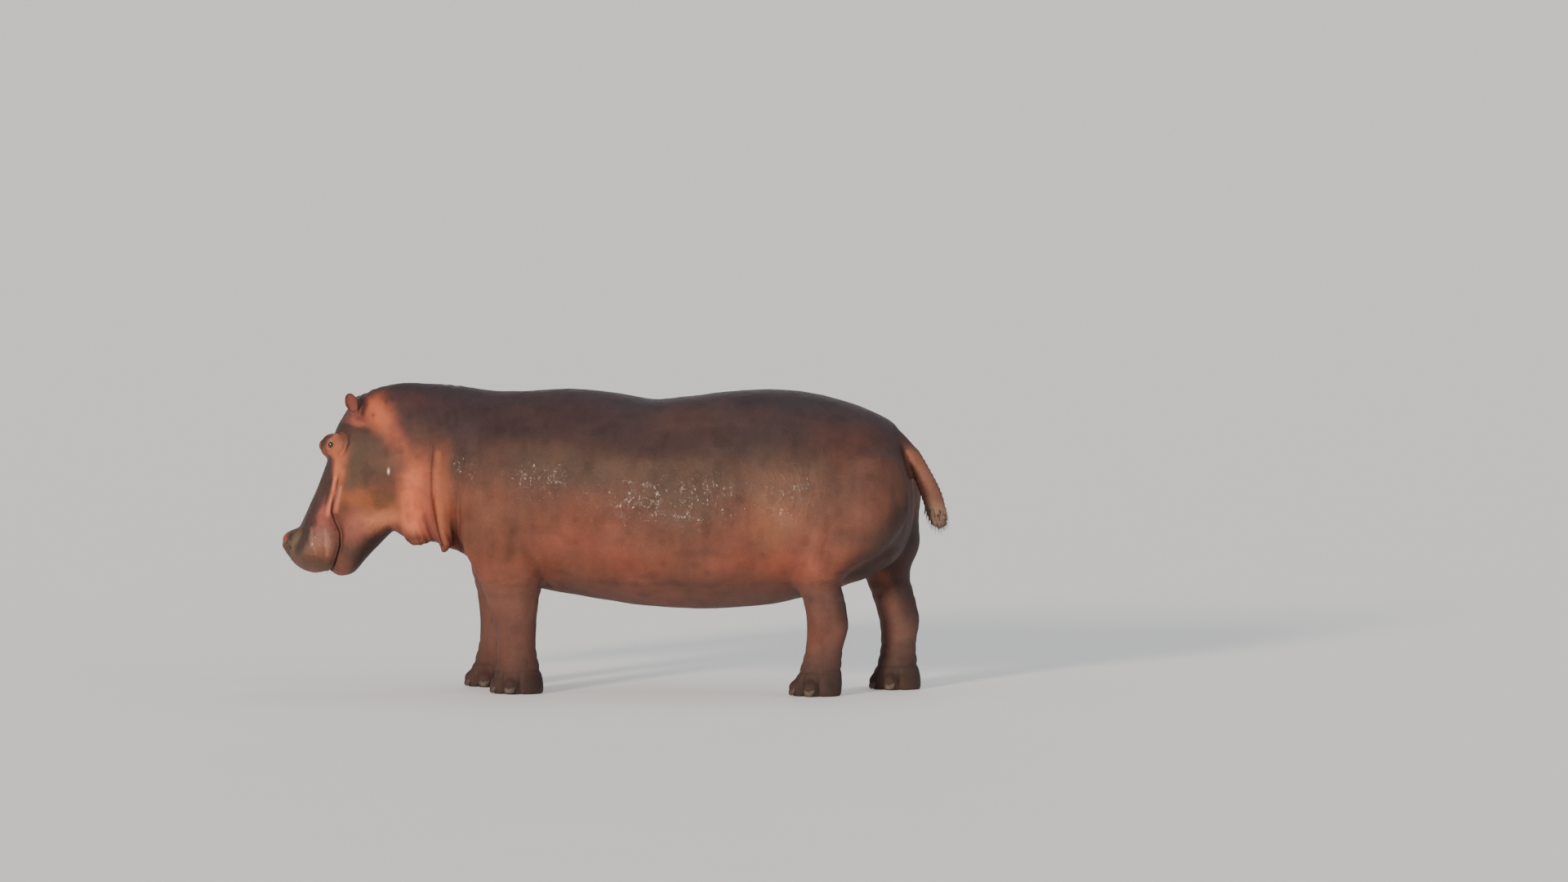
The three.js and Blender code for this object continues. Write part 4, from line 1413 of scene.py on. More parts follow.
class MarkingsAndPaintedLight:
    """Paints the hide's markings, with its painted shade and painted highlights, on any points, so that skin
    and bristles agree.
    """

    def __init__(self, tones: HideTones) -> None:
        """Keeps the tones and the noise that breaks their edges."""
        self.tones = tones
        self.broad, self.fine = Noise(31), Noise(32)

    def colour(self, points: np.ndarray, normals: np.ndarray) -> np.ndarray:
        """The hide's linear colour, with its painted shade and painted highlights.

        Args:
            points: N by 3 places in millimetres.
            normals: N by 3 outward directions.

        Returns:
            N by 3 colours.
        """
        seen = Halves(points, normals)
        ragged = seen.sheet.copy()
        for wave, reach in RAGGED_EDGES:
            for k in (0, 1):
                ragged[:, k] += reach * (self.broad, self.fine)[k].at(points + 900 * (k + 1), wave)
        base = self.body(points, normals, seen, ragged)
        sided = smooth_step(0.1, 0.5, np.maximum(np.abs(normals[:, 1]), normals[:, 0]))
        above = sided * (points[:, 2] > LEG_TOP)
        for patch in self.tones.patches:
            share = patch.zone.share(ragged) * above
            base = laid(base, patch.colour, share * seen.of_head if patch.face else share)
        base = self.thigh_shade_and_dark_snout(base, points, normals, seen)
        torn = seen.sheet + (ragged - seen.sheet) * STREAK_TEAR
        for streak in self.tones.streaks:
            base = laid(base, streak.colour, streak.share(torn) * above)
        base = self.small_parts(base, points, seen)
        for u, v, size, dark in MOLES:
            base *= 1 - (Zone((u, v), (size, size * 1.5), dark).share(seen.sheet) * sided)[:, None]
        fleck = self.tones.fleck_zone.share(seen.sheet) * sided * (seen.lateral < 0)
        return laid(base, self.tones.fleck, fleck) * self.variety(points)

    def body(self, points: np.ndarray, normals: np.ndarray, seen: Halves, ragged: np.ndarray) -> np.ndarray:
        """The broad tones from back to belly and down the legs.

        Args:
            points: N by 3 places.
            normals: N by 3 outward directions.
            seen: the same points mirrored onto the left side.
            ragged: their places on the side sheet, with torn edges.

        Returns:
            N by 3 colours.
        """
        t = self.tones
        drop = ragged[:, 1] + 14 * (normals[:, 2] < 0) * -normals[:, 2]
        ramp = np.stack([tone(*c) for c in (t.back, t.back, t.flank, t.low, t.belly)])
        base = np.stack([np.interp(drop, t.levels, ramp[:, k]) for k in range(3)], axis=1)
        base = laid(base, t.back, 0.7 * smooth_step(0.35, 0.85, normals[:, 2]) * (1 - seen.of_head))
        leg = smooth_step(640, LEG_TOP, points[:, 2]) * (1 - seen.of_head) * (points[:, 0] > -950)
        base = laid(base, t.leg, leg)
        return laid(base, t.foot, smooth_step(260, 40, points[:, 2]) * (points[:, 0] > -1000))

    def thigh_shade_and_dark_snout(
        self, base: np.ndarray, points: np.ndarray, normals: np.ndarray, seen: Halves
    ) -> np.ndarray:
        """Paints shade behind and between the thighs, and darkens the top of the snout.

        Args:
            base: N by 3 colours.
            points: N by 3 places.
            normals: N by 3 outward directions.
            seen: the same points mirrored onto the left side.

        Returns:
            N by 3 colours.
        """
        # painted shade: back-facing skin low behind and between the thighs is darkened
        below = 560 + 1.16 * (points[:, 0] + 0.12 * np.abs(points[:, 1]) - 975) - points[:, 2]
        below += 60 * self.broad.at(points + 700, 130)
        rear_shade = smooth_step(-90, 90, below) * smooth_step(-0.1, 0.45, normals[:, 0])
        rear_shade *= smooth_step(230, 430, points[:, 2]) * smooth_step(900, 1000, points[:, 0])
        base = laid(base, self.tones.rear_shade, 0.8 * rear_shade)
        snout = smooth_step(0.45, 0.85, seen.own[:, 2]) * seen.of_head
        snout *= (seen.head[:, 0] > -120) * smooth_step(-170, -110, seen.head[:, 2])
        return laid(base, self.tones.snout, 0.9 * snout)

    def small_parts(self, base: np.ndarray, points: np.ndarray, seen: Halves) -> np.ndarray:
        """Paints shade on the orbits' sides towards the head's middle and under the jaw and throat, and
        colours the tail and the ears.

        Args:
            base: N by 3 colours.
            points: N by 3 places.
            seen: the same points mirrored onto the left side.

        Returns:
            N by 3 colours.
        """
        t, head = self.tones, seen.head
        # painted shade on the side of each eye's mound turned towards the head's middle
        shaded_orbit_side = smooth_step(98, 62, oval(mirrored(head), t.orbit_at, (1, 1, 1))) * seen.of_head
        shaded_orbit_side *= smooth_step(0.0, 0.6, -np.sign(head[:, 1]) * seen.own[:, 1])
        base = laid(base, t.orbit_shade, 0.55 * shaded_orbit_side)
        # painted shade under the jaw and on the throat, in the snout's tone
        base = laid(base, t.snout, 0.6 * smooth_step(-0.4, -0.9, seen.own[:, 2]) * seen.of_head)
        tail = tail_share(points)
        base = laid(base, t.tail, 0.8 * tail)
        base = laid(base, t.tip, tail * smooth_step(960, 840, points[:, 2]))
        for ear in EARS:
            own = ear.own(points)
            cup = smooth_step(1.0, 0.55, ear.across(own)) * (own[:, 0] > -4)
            shade = tone(*t.ear) + cup[:, None] * (tone(*t.cup) - tone(*t.ear))
            base = base + (shade - base) * (0.9 * ear.share(own))[:, None]
        return base

    def variety(self, points: np.ndarray) -> np.ndarray:
        """Broad warm and cool clouds, upright streaks and small blots, as N by 3 factors."""
        warm = self.broad.at(points + 300, (250, 250, 150)) + 0.6 * self.fine.at(points + 2300, (90, 90, 60))
        streak = self.fine.at(points + 700, (26, 60, 130))
        blot = smooth_step(0.2, 0.55, self.fine.at(points + 1500, 52))
        patchy = self.broad.at(points + 4100, (120, 120, 80))
        light = 1 + 0.085 * streak + 0.13 * patchy - 0.14 * blot
        return light[:, None] * (1 + warm[:, None] * np.array([0.15, 0.03, -0.02]))

    def fold_shade(self, points: np.ndarray, normals: np.ndarray) -> np.ndarray:
        """How much painted shade each point takes from lying deep in the mouth line, a nostril's slit or a
        neck fold, from 0 to 1.
        """
        seen = Halves(points, normals)
        head, of_head = seen.head, seen.of_head
        shade = np.zeros(len(points))
        for crease, flat, width, own in (
            (MOUTH_LINE, head[:, [0, 2]], 3.4, of_head),
            (SLIT, mirrored(head)[:, :2], 5.0, of_head * (head[:, 2] > -30)),
        ):
            away, strength = along_line(flat, crease.corners)
            shade = np.maximum(shade, own * np.clip(strength, 0, 1) * np.exp(-((away / width) ** 2)))
        outer = (np.abs(seen.lateral) > 60) & (points[:, 0] < -700)
        for crease, most in zip(NECK_FOLDS, (1.0, 0.4, 0.5)):
            away, strength = along_line(seen.sheet, crease.corners)
            shade = np.maximum(shade, most * outer * np.clip(strength, 0, 1) * np.exp(-((away / 1.3) ** 2)))
        return shade

    def damp(self, points: np.ndarray) -> np.ndarray:
        """How wet each point is, from 0 to 1."""
        wet = wetness(Halves(points, 0 * points).sheet)
        return np.maximum(LEAST_DAMP, wet * (0.5 + 0.5 * curls(points)))


MARKINGS_AND_PAINTED_LIGHT = MarkingsAndPaintedLight(HideTones())


# ---------------------------------------------------------------- finishes


class Bench:
    """Adds nodes to a shader tree and wires them."""

    def __init__(self, tree: bpy.types.NodeTree) -> None:
        """Starts on a tree, emptied."""
        self.tree = tree
        tree.nodes.clear()

    def node(self, kind: str, wires: dict | None = None, **settings: object) -> bpy.types.Node:
        """Adds one node.

        Args:
            kind: the node's type, without ShaderNode before it.
            wires: for each input, the socket that feeds it or its value.
            settings: the node's own settings.

        Returns:
            The node.
        """
        made = self.tree.nodes.new(kind if kind.startswith("Node") else "ShaderNode" + kind)
        made.location = (220 * (len(self.tree.nodes) % 9), -260 * (len(self.tree.nodes) // 9))
        for key, value in settings.items():
            setattr(made, key, value)
        self.feed(made, wires or {})
        return made

    def feed(self, target: bpy.types.Node, wires: dict) -> None:
        """Feeds a node's inputs.

        Args:
            target: the node.
            wires: for each input's name or number, the socket that feeds it or its value.
        """
        for key, value in wires.items():
            if isinstance(value, bpy.types.NodeSocket):
                self.tree.links.new(value, target.inputs[key])
            else:
                target.inputs[key].default_value = value

    def place(self) -> bpy.types.NodeSocket:
        """Each point's own place on the piece, in metres."""
        return self.node("TexCoord").outputs["Object"]

    def noise(
        self, place: bpy.types.NodeSocket, size: object, detail: float, **more: float
    ) -> bpy.types.Node:
        """A noise texture at a place."""
        return self.node("TexNoise", {"Vector": place, "Scale": size, "Detail": detail} | more)

    def painted(self, name: str, kind: str = "Fac") -> bpy.types.NodeSocket:
        """What is painted on the piece's points under a name: a value, or a Color."""
        return self.node("Attribute", attribute_name=name).outputs[kind]

    def vector(self, operation: str, first: object, second: object) -> bpy.types.NodeSocket:
        """One step of arithmetic on directions, where SCALE takes a number second."""
        wires = {0: first, "Scale" if operation == "SCALE" else 1: second}
        return self.node("VectorMath", wires, operation=operation).outputs[0]

    def sum(self, operation: str, *values: object) -> bpy.types.NodeSocket:
        """One step of arithmetic on sockets or numbers, limited to no range."""
        return self.node("Math", dict(enumerate(values)), operation=operation).outputs[0]

    def blend(self, share: object, first: object, second: object, mode: str = "MIX") -> bpy.types.NodeSocket:
        """Two colours mixed by a share."""
        return self.node("Mix", {0: share, 6: first, 7: second}, data_type="RGBA", blend_type=mode).outputs[2]

    def tinted(self, share: object, colour: bpy.types.NodeSocket, factor: tuple) -> bpy.types.NodeSocket:
        """A colour that is multiplied by a factor where the share says so."""
        return self.blend(share, colour, self.blend(1.0, colour, (*factor, 1.0), "MULTIPLY"))

    def bump(self, strength: float, distance: float, height: bpy.types.NodeSocket) -> bpy.types.NodeSocket:
        """A direction bent by a height."""
        return self.node("Bump", {"Strength": strength, "Distance": distance, "Height": height}).outputs[0]

    def surface(self, wires: dict) -> bpy.types.Node:
        """Ends a material in one surface, which it returns."""
        made = self.node("BsdfPrincipled", wires)
        self.node("OutputMaterial", {"Surface": made.outputs[0]})
        return made

    def ramp(self, value: bpy.types.NodeSocket, low: float, high: float) -> bpy.types.NodeSocket:
        """A value mapped smoothly from low..high to 0..1."""
        wires = {"Value": value, "From Min": low, "From Max": high}
        return self.node("MapRange", wires, interpolation_type="SMOOTHSTEP").outputs[0]


def new_group(name: str, inputs: dict[str, float], outputs: dict[str, str]) -> tuple:
    """Starts a shared effect.

    Args:
        name: its name.
        inputs: each input's name and first value.
        outputs: each output's name and kind.

    Returns:
        The group's tree, a bench on it, and its input and output nodes.
    """
    tree = bpy.data.node_groups.new(name, "ShaderNodeTree")
    bench = Bench(tree)
    for label, value in inputs.items():
        made = tree.interface.new_socket(label, in_out="INPUT", socket_type="NodeSocketFloat")
        made.default_value = value
    for label, kind in outputs.items():
        tree.interface.new_socket(label, in_out="OUTPUT", socket_type=kind)
    return tree, bench, bench.node("NodeGroupInput"), bench.node("NodeGroupOutput")


class Effects:
    """The shader effects that several finishes share."""

    def __init__(self) -> None:
        """Builds each effect once."""
        self.grain = self.skin_grain()
        self.mottle = self.uneven_colour()
        self.wet = self.wet_film()
        self.fold = self.ripples()

    def skin_grain(self) -> bpy.types.NodeTree:
        """Fine cracked relief: a net of folds, pores and a grain."""
        tree, bench, given, result = new_group(
            "Skin Grain",
            {"Net Scale": 60.0, "Pore Scale": 420.0, "Net Amount": 1.0, "Pore Amount": 0.4},
            {"Height": "NodeSocketFloat", "Cracks": "NodeSocketFloat"},
        )
        place = bench.place()
        bend = bench.noise(place, 14.0, 3.0).outputs["Color"]
        off = bench.vector("SUBTRACT", bend, (0.5, 0.5, 0.5))
        bent = bench.vector("ADD", place, bench.vector("SCALE", off, 0.035))
        heights = []
        for factor, amount in ((1.0, 0.5), (2.3, 0.4)):
            scale = bench.sum("MULTIPLY", given.outputs["Net Scale"], factor)
            net = bench.node("TexVoronoi", {"Vector": bent, "Scale": scale}, feature="DISTANCE_TO_EDGE")
            edge = bench.ramp(net.outputs["Distance"], 0.0, 0.16)
            heights.append(bench.sum("MULTIPLY", edge, amount))
        net = bench.sum("ADD", *heights)
        cracks = bench.sum("SUBTRACT", 1.0, bench.ramp(net, 0.1, 0.7))
        pores = bench.noise(place, given.outputs["Pore Scale"], 2.0)
        low = bench.noise(place, 22.0, 4.0).outputs["Fac"]
        height = bench.sum("MULTIPLY", net, given.outputs["Net Amount"])
        height = bench.sum("MULTIPLY_ADD", pores.outputs["Fac"], given.outputs["Pore Amount"], height)
        height = bench.sum("MULTIPLY_ADD", low, 1.1, height)
        bench.feed(result, {"Height": height, "Cracks": cracks})
        return tree

    def ripples(self) -> bpy.types.NodeTree:
        """Short upright wrinkles, as a height."""
        tree, bench, given, result = new_group("Ripples", {"Scale": 70.0}, {"Height": "NodeSocketFloat"})
        place = bench.place()
        bend = bench.noise(place, 16.0, 2.0).outputs["Color"]
        bent = bench.vector("ADD", place, bench.vector("SCALE", bend, 0.07))
        tall = bench.vector("MULTIPLY", bent, (1.0, 0.6, 0.34))
        wave = bench.noise(tall, given.outputs["Scale"], 2.0)
        fold = bench.sum("ABSOLUTE", bench.sum("SUBTRACT", wave.outputs["Fac"], 0.5))
        bench.feed(result, {"Height": bench.sum("SUBTRACT", 1.0, bench.sum("MULTIPLY", fold, 4.0))})
        return tree

    def uneven_colour(self) -> bpy.types.NodeTree:
        """Uneven pigment: broad clouds, freckles and pale scuffs, each as a mask."""
        tree, bench, given, result = new_group(
            "Uneven Pigment",
            {"Cloud Scale": 7.0, "Freckle Scale": 90.0, "Freckle Amount": 0.5},
            {"Clouds": "NodeSocketFloat", "Freckles": "NodeSocketFloat", "Scuffs": "NodeSocketFloat"},
        )
        place = bench.place()
        clouds = bench.noise(place, given.outputs["Cloud Scale"], 6.0, Roughness=0.62).outputs["Fac"]
        spots = bench.node("TexVoronoi", {"Vector": place, "Scale": given.outputs["Freckle Scale"]})
        round_spots = bench.ramp(spots.outputs["Distance"], 0.34, 0.12)
        some = bench.ramp(spots.outputs["Color"], 0.55, 0.75)
        round_spots = bench.sum("MULTIPLY", round_spots, some)
        freckles = bench.sum("MULTIPLY", round_spots, given.outputs["Freckle Amount"])
        wires = {"Vector": place, "Rotation": (0.3, 0.5, 0.2), "Scale": (26.0, 5.0, 70.0)}
        stretch = bench.node("Mapping", wires)
        scratch = bench.noise(stretch.outputs[0], 1.0, 3.0)
        scuffs = bench.ramp(scratch.outputs["Fac"], 0.66, 0.74)
        bench.feed(result, {"Clouds": bench.ramp(clouds, 0.34, 0.68), "Freckles": freckles, "Scuffs": scuffs})
        return tree

    def wet_film(self) -> bpy.types.NodeTree:
        """A broken film of water: the roughness and the film's cover where the skin is damp."""
        tree, bench, given, result = new_group(
            "Wet Film",
            {"Damp": 0.0, "Dry Roughness": 0.6, "Wet Roughness": 0.3},
            {"Roughness": "NodeSocketFloat", "Film": "NodeSocketFloat"},
        )
        place = bench.place()
        drops = bench.noise(place, 70.0, 5.0, Roughness=0.65)
        edge = bench.sum("SUBTRACT", 0.80, bench.sum("MULTIPLY", given.outputs["Damp"], 0.36))
        over = bench.sum("SUBTRACT", drops.outputs["Fac"], edge)
        film = bench.ramp(over, -0.04, 0.10)
        gap = bench.sum("SUBTRACT", given.outputs["Wet Roughness"], given.outputs["Dry Roughness"])
        share = bench.sum("MAXIMUM", film, bench.sum("MULTIPLY", given.outputs["Damp"], 0.55))
        rough = bench.sum("MULTIPLY_ADD", share, gap, given.outputs["Dry Roughness"])
        bench.feed(result, {"Roughness": rough, "Film": film})
        return tree


def start_material(name: str) -> tuple[bpy.types.Material, Bench]:
    """An empty node material and a bench on it."""
    made = bpy.data.materials.new(name)
    made.use_nodes = True
    return made, Bench(made.node_tree)


def effect(bench: Bench, tree: bpy.types.NodeTree, **values: object) -> bpy.types.Node:
    """Places a shared effect; a value's name has _ for each space of the input's name."""
    wires = {key.replace("_", " "): value for key, value in values.items()}
    return bench.node("Group", wires, node_tree=tree)


@dataclass(frozen=True)
class HideFinish:
    """Bare, finely cracked, partly wet hide."""

    net: float = 115.0
    pores: float = 520.0
    relief: float = 0.0016
    film_relief: float = 0.0034
    strength: float = 0.75
    dry: float = 0.66
    wet: float = 0.24

    def material(self, effects: Effects) -> bpy.types.Material:
        """The hide's material."""
        made, bench = start_material("hide")
        shade = bench.painted("markings_and_painted_light", "Color")
        # painted shade deep in the creases, which darkens the colour below
        fold = bench.painted("fold")
        damp = bench.painted("damp")
        grain = effect(bench, effects.grain, Net_Scale=self.net, Pore_Scale=self.pores)
        uneven = effect(bench, effects.mottle, Cloud_Scale=6.0, Freckle_Scale=120.0, Freckle_Amount=0.30)
        film = effect(bench, effects.wet, Damp=damp, Dry_Roughness=self.dry, Wet_Roughness=self.wet)
        colour = shade
        for mask, amount, factor in (
            (uneven.outputs["Clouds"], 0.42, (0.66, 0.62, 0.62)),
            (uneven.outputs["Freckles"], 1.0, (0.45, 0.38, 0.38)),
            (grain.outputs["Cracks"], 0.22, (0.60, 0.52, 0.50)),
            (uneven.outputs["Scuffs"], 0.30, (1.35, 1.38, 1.40)),
            # painted shade in the mouth line, the nostrils' slits and the neck folds
            (fold, 1.0, (0.36, 0.17, 0.15)),
        ):
            colour = bench.tinted(bench.sum("MULTIPLY", mask, amount), colour, factor)
        ripple = effect(bench, effects.fold, Scale=46.0).outputs["Height"]
        deepness = bench.sum("MULTIPLY_ADD", damp, 1.6, 0.5)
        height = bench.sum("MULTIPLY_ADD", ripple, deepness, grain.outputs["Height"])
        wires = {
            "Base Color": colour,
            "Roughness": film.outputs["Roughness"],
            "Coat Weight": film.outputs["Film"],
            "Normal": bench.bump(self.strength, self.relief, height),
            "Coat Normal": bench.bump(1.0, self.film_relief, ripple),
            "IOR": 1.36,
            "Coat Roughness": 0.26,
            "Coat IOR": 1.33,
        }
        bench.surface(wires)
        return made


@dataclass(frozen=True)
class NailFinish:
    """Blunt horn, ridged towards its edge and stained by mud."""

    horn: tuple = (84, 68, 58)
    mud: tuple = (52, 42, 37)

    def material(self, effects: Effects) -> bpy.types.Material:
        """The toenails' material."""
        made, bench = start_material("nail_horn")
        scales = {"Net_Scale": 150.0, "Pore_Scale": 600.0, "Net_Amount": 0.3, "Pore_Amount": 0.5}
        grain = effect(bench, effects.grain, **scales)
        uneven = effect(bench, effects.mottle, Cloud_Scale=30.0, Freckle_Scale=200.0, Freckle_Amount=0.4)
        colour = bench.blend(uneven.outputs["Clouds"], rgba(self.horn), rgba(self.mud))
        colour = bench.tinted(bench.sum("MULTIPLY", uneven.outputs["Scuffs"], 0.6), colour, (1.5, 1.45, 1.4))
        bump = bench.bump(0.5, 0.0008, grain.outputs["Height"])
        film = effect(bench, effects.wet, Damp=0.1, Dry_Roughness=0.66, Wet_Roughness=0.45)
        bench.surface({"Base Color": colour, "Roughness": film.outputs["Roughness"], "Normal": bump})
        return made


@dataclass(frozen=True)
class EyeFinish:
    """A wet dark eye: brown iris, long pupil, and a ring of dark white round them."""

    pupil: tuple = (8, 6, 6)
    iris: tuple = (58, 32, 18)
    iris_streak: tuple = (26, 15, 10)
    white: tuple = (66, 46, 42)

    def material(self, effects: Effects) -> bpy.types.Material:
        """The eyeballs' material."""
        made, bench = start_material("eye_wet")
        ring = bench.painted("ring")
        slot = bench.painted("pupil")
        uneven = effect(bench, effects.mottle, Cloud_Scale=160.0, Freckle_Scale=420.0, Freckle_Amount=0.8)
        streak = bench.sum("MULTIPLY", uneven.outputs["Clouds"], 0.6)
        iris = bench.blend(streak, rgba(self.iris), rgba(self.iris_streak))
        colour = bench.blend(bench.ramp(ring, 0.54, 0.62), iris, rgba(self.white))
        colour = bench.blend(bench.ramp(slot, 1.08, 0.92), colour, rgba(self.pupil))
        wires = {"Base Color": colour, "Roughness": 0.08, "IOR": 1.38}
        bench.surface(wires | {"Coat Weight": 1.0, "Coat Roughness": 0.02})
        return made


@dataclass(frozen=True)
class BristleFinish:
    """Stiff hairs, darker at the root."""

    name: str
    root: tuple
    tip: tuple

    def material(self, effects: Effects) -> bpy.types.Material:
        """The bristles' material."""
        made, bench = start_material(self.name)
        along = bench.painted("along")
        markings_and_painted_light = bench.painted("markings_and_painted_light", "Color")
        uneven = effect(bench, effects.mottle, Cloud_Scale=40.0, Freckle_Amount=0.0)
        hair = bench.blend(along, rgba(self.root), rgba(self.tip))
        hair = bench.blend(0.12, hair, markings_and_painted_light)
        colour = bench.tinted(uneven.outputs["Clouds"], hair, (0.6, 0.6, 0.6))
        bench.surface({"Base Color": colour, "Roughness": 0.42})
        return made


# ---------------------------------------------------------------- the pieces


def settle(piece: bpy.types.Object, material: bpy.types.Material) -> None:
    """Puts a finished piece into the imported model's place, and rides it.

    Args:
        piece: a mesh object in millimetres.
        material: its material.
    """
    clay = Clay(piece.data)
    clay.put(PLACE.row(clay.points()))
    piece.data.materials.clear()
    piece.data.materials.append(material)
    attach(piece, "root")
    log.info("%s: %d faces", piece.name, len(piece.data.polygons))


@dataclass
class Eyeballs:
    """Both eyeballs, each with a slight bulge over its iris."""

    bulge: float = 1.3
    pupil: tuple[float, float] = (0.34, 0.19)

    def build(self) -> bpy.types.Object:
        """The pair, in millimetres."""
        shells, rings, slots = [], [], []
        for side in (1, -1):
            points, faces = ball((0, 0, 0), (1, 1, 1), 40, 64)
            across = np.hypot(points[:, 0], points[:, 1])
            front = points[:, 2] > 0
            rings.append(np.where(front, across, 2.0))
            slot = np.hypot(points[:, 0] / self.pupil[0], points[:, 1] / self.pupil[1])
            slots.append(np.where(front, slot, 9.0))
            grown = (EYE.radius + self.bulge * front * smooth_step(0.62, 0.35, across))[:, None] * points
            shells.append((EYE.centre(side) + grown @ EYE.axes(side), faces))
        made = new_object("eyes", *joined(shells))
        paint(made.data, "ring", np.concatenate(rings))
        paint(made.data, "pupil", np.concatenate(slots))
        return made


@dataclass
class Toenails:
    """Sixteen blunt nails, four to a foot."""

    out: float = 126.0
    height: float = 34.0
    size: tuple[float, float, float] = (13.0, 27.0, 32.0)
    lean: float = 24.0
    floor: float = 1.5

    def build(self) -> bpy.types.Object:
        """All nails, in millimetres."""
        tilt = Matrix.Rotation(math.radians(-self.lean), 4, "Y")
        shells = []
        for leg in LEGS:
            for matrix in leg.toe_matrices():
                points, faces = ball((0, 0, 0), (1, 1, 1), 28, 40)
                power = np.sign(points) * np.abs(points) ** np.array([0.85, 0.80, 0.72])
                power[:, 0] *= 1 - 0.12 * np.cos(points[:, 1] * 9) * (points[:, 0] > 0.3)
                power *= np.array(self.size)
                place = matrix @ Matrix.Translation((self.out, 0, self.height)) @ tilt
                placed = moved(power, place)
                placed[:, 2] = np.maximum(placed[:, 2], self.floor)
                shells.append((placed, faces))
        return new_object("toenails", *joined(shells))


@dataclass
class Strands:
    """Stiff hairs as thin curved cones rooted on the skin."""

    name: str
    count: int
    length: tuple[float, float]
    thick: float
    lean: float
    seed: int
    bends: int = 4
    stray: float = 0.22
    droop: float = -0.25
    sunk: float = 1.5
    taper: float = 0.75

    def build(
        self, roots: np.ndarray, normals: np.ndarray, lie: np.ndarray, flat: np.ndarray
    ) -> bpy.types.Object:
        """Grows the hairs.

        Args:
            roots: N by 3 possible roots.
            normals: the skin's direction at each.
            lie: the direction in which the hairs lean there.
            flat: each root's place on an unwrap of the skin, from 0 to 1.

        Returns:
            The hairs, in millimetres.
        """
        rng = np.random.default_rng(self.seed)
        pick = rng.choice(len(roots), min(self.count, len(roots)), replace=False)
        shape = self.hair_faces()
        points, faces, spots = [], [], []
        for i in pick:
            start = len(points)
            points += self.hair(roots[i], normals[i], lie[i], rng)
            faces += [tuple(start + n for n in face) for face in shape]
            spots += [flat[i] + TUFT_PATCH * np.array(c) for face in shape for c in TUFT_CORNERS[len(face)]]
        placed = np.array(points)
        made = new_object(self.name, placed, faces)
        layer = made.data.uv_layers.new(name="OFBake")
        layer.uv.foreach_set("vector", np.array(spots, np.float32).ravel())
        stages = np.append(np.repeat(np.arange(self.bends) / self.bends, 3), 1.0)
        paint(made.data, "along", np.tile(stages, len(pick)))
        paint(made.data, "markings_and_painted_light", MARKINGS_AND_PAINTED_LIGHT.colour(placed, np.repeat(normals[pick], len(stages), axis=0)))
        return made

    def hair_faces(self) -> list[tuple[int, ...]]:
        """One hair's faces, counted from its first point: the root, the sides and the tip."""
        last = 3 * (self.bends - 1)
        pairs = [(3 * k + j, 3 * k + (j + 1) % 3) for k in range(self.bends - 1) for j in range(3)]
        tip = [(last + j, last + (j + 1) % 3, last + 3) for j in range(3)]
        return [(2, 1, 0)] + [(a, b, b + 3, a + 3) for a, b in pairs] + tip

    def hair(
        self, root: np.ndarray, normal: np.ndarray, lie: np.ndarray, rng: np.random.Generator
    ) -> list[np.ndarray]:
        """One hair's points: rings of three up a curve, and the tip.

        Args:
            root: where it grows.
            normal: the skin's direction there.
            lie: the direction in which it leans.
            rng: the source of its random draws.

        Returns:
            The points, from root to tip.
        """
        way = normal + lie * self.lean + rng.normal(0, self.stray, 3)
        way /= np.linalg.norm(way)
        bend = lie * rng.uniform(0.1, 0.5) + np.array([0, 0, self.droop])
        length = rng.uniform(*self.length)
        u = np.cross(way, [0.3, 0.5, 0.81])
        u /= np.linalg.norm(u)
        v = np.cross(way, u)
        points = []
        for k in range(self.bends):
            s = k / self.bends
            centre = root - normal * self.sunk + way * length * s + bend * length * s * s * 0.5
            radius = self.thick * (1 - self.taper * s)
            points += [centre + radius * (a * u + b * v) for a, b in HAIR_RING]
        return points + [root + way * length + bend * length * 0.5]


def unwrapped(turn: np.ndarray, along: np.ndarray) -> np.ndarray:
    """Places on an unwrap from two shares of the way across it, kept off its edges."""
    return np.stack([0.02 + 0.95 * turn, 0.02 + 0.95 * along], axis=1)


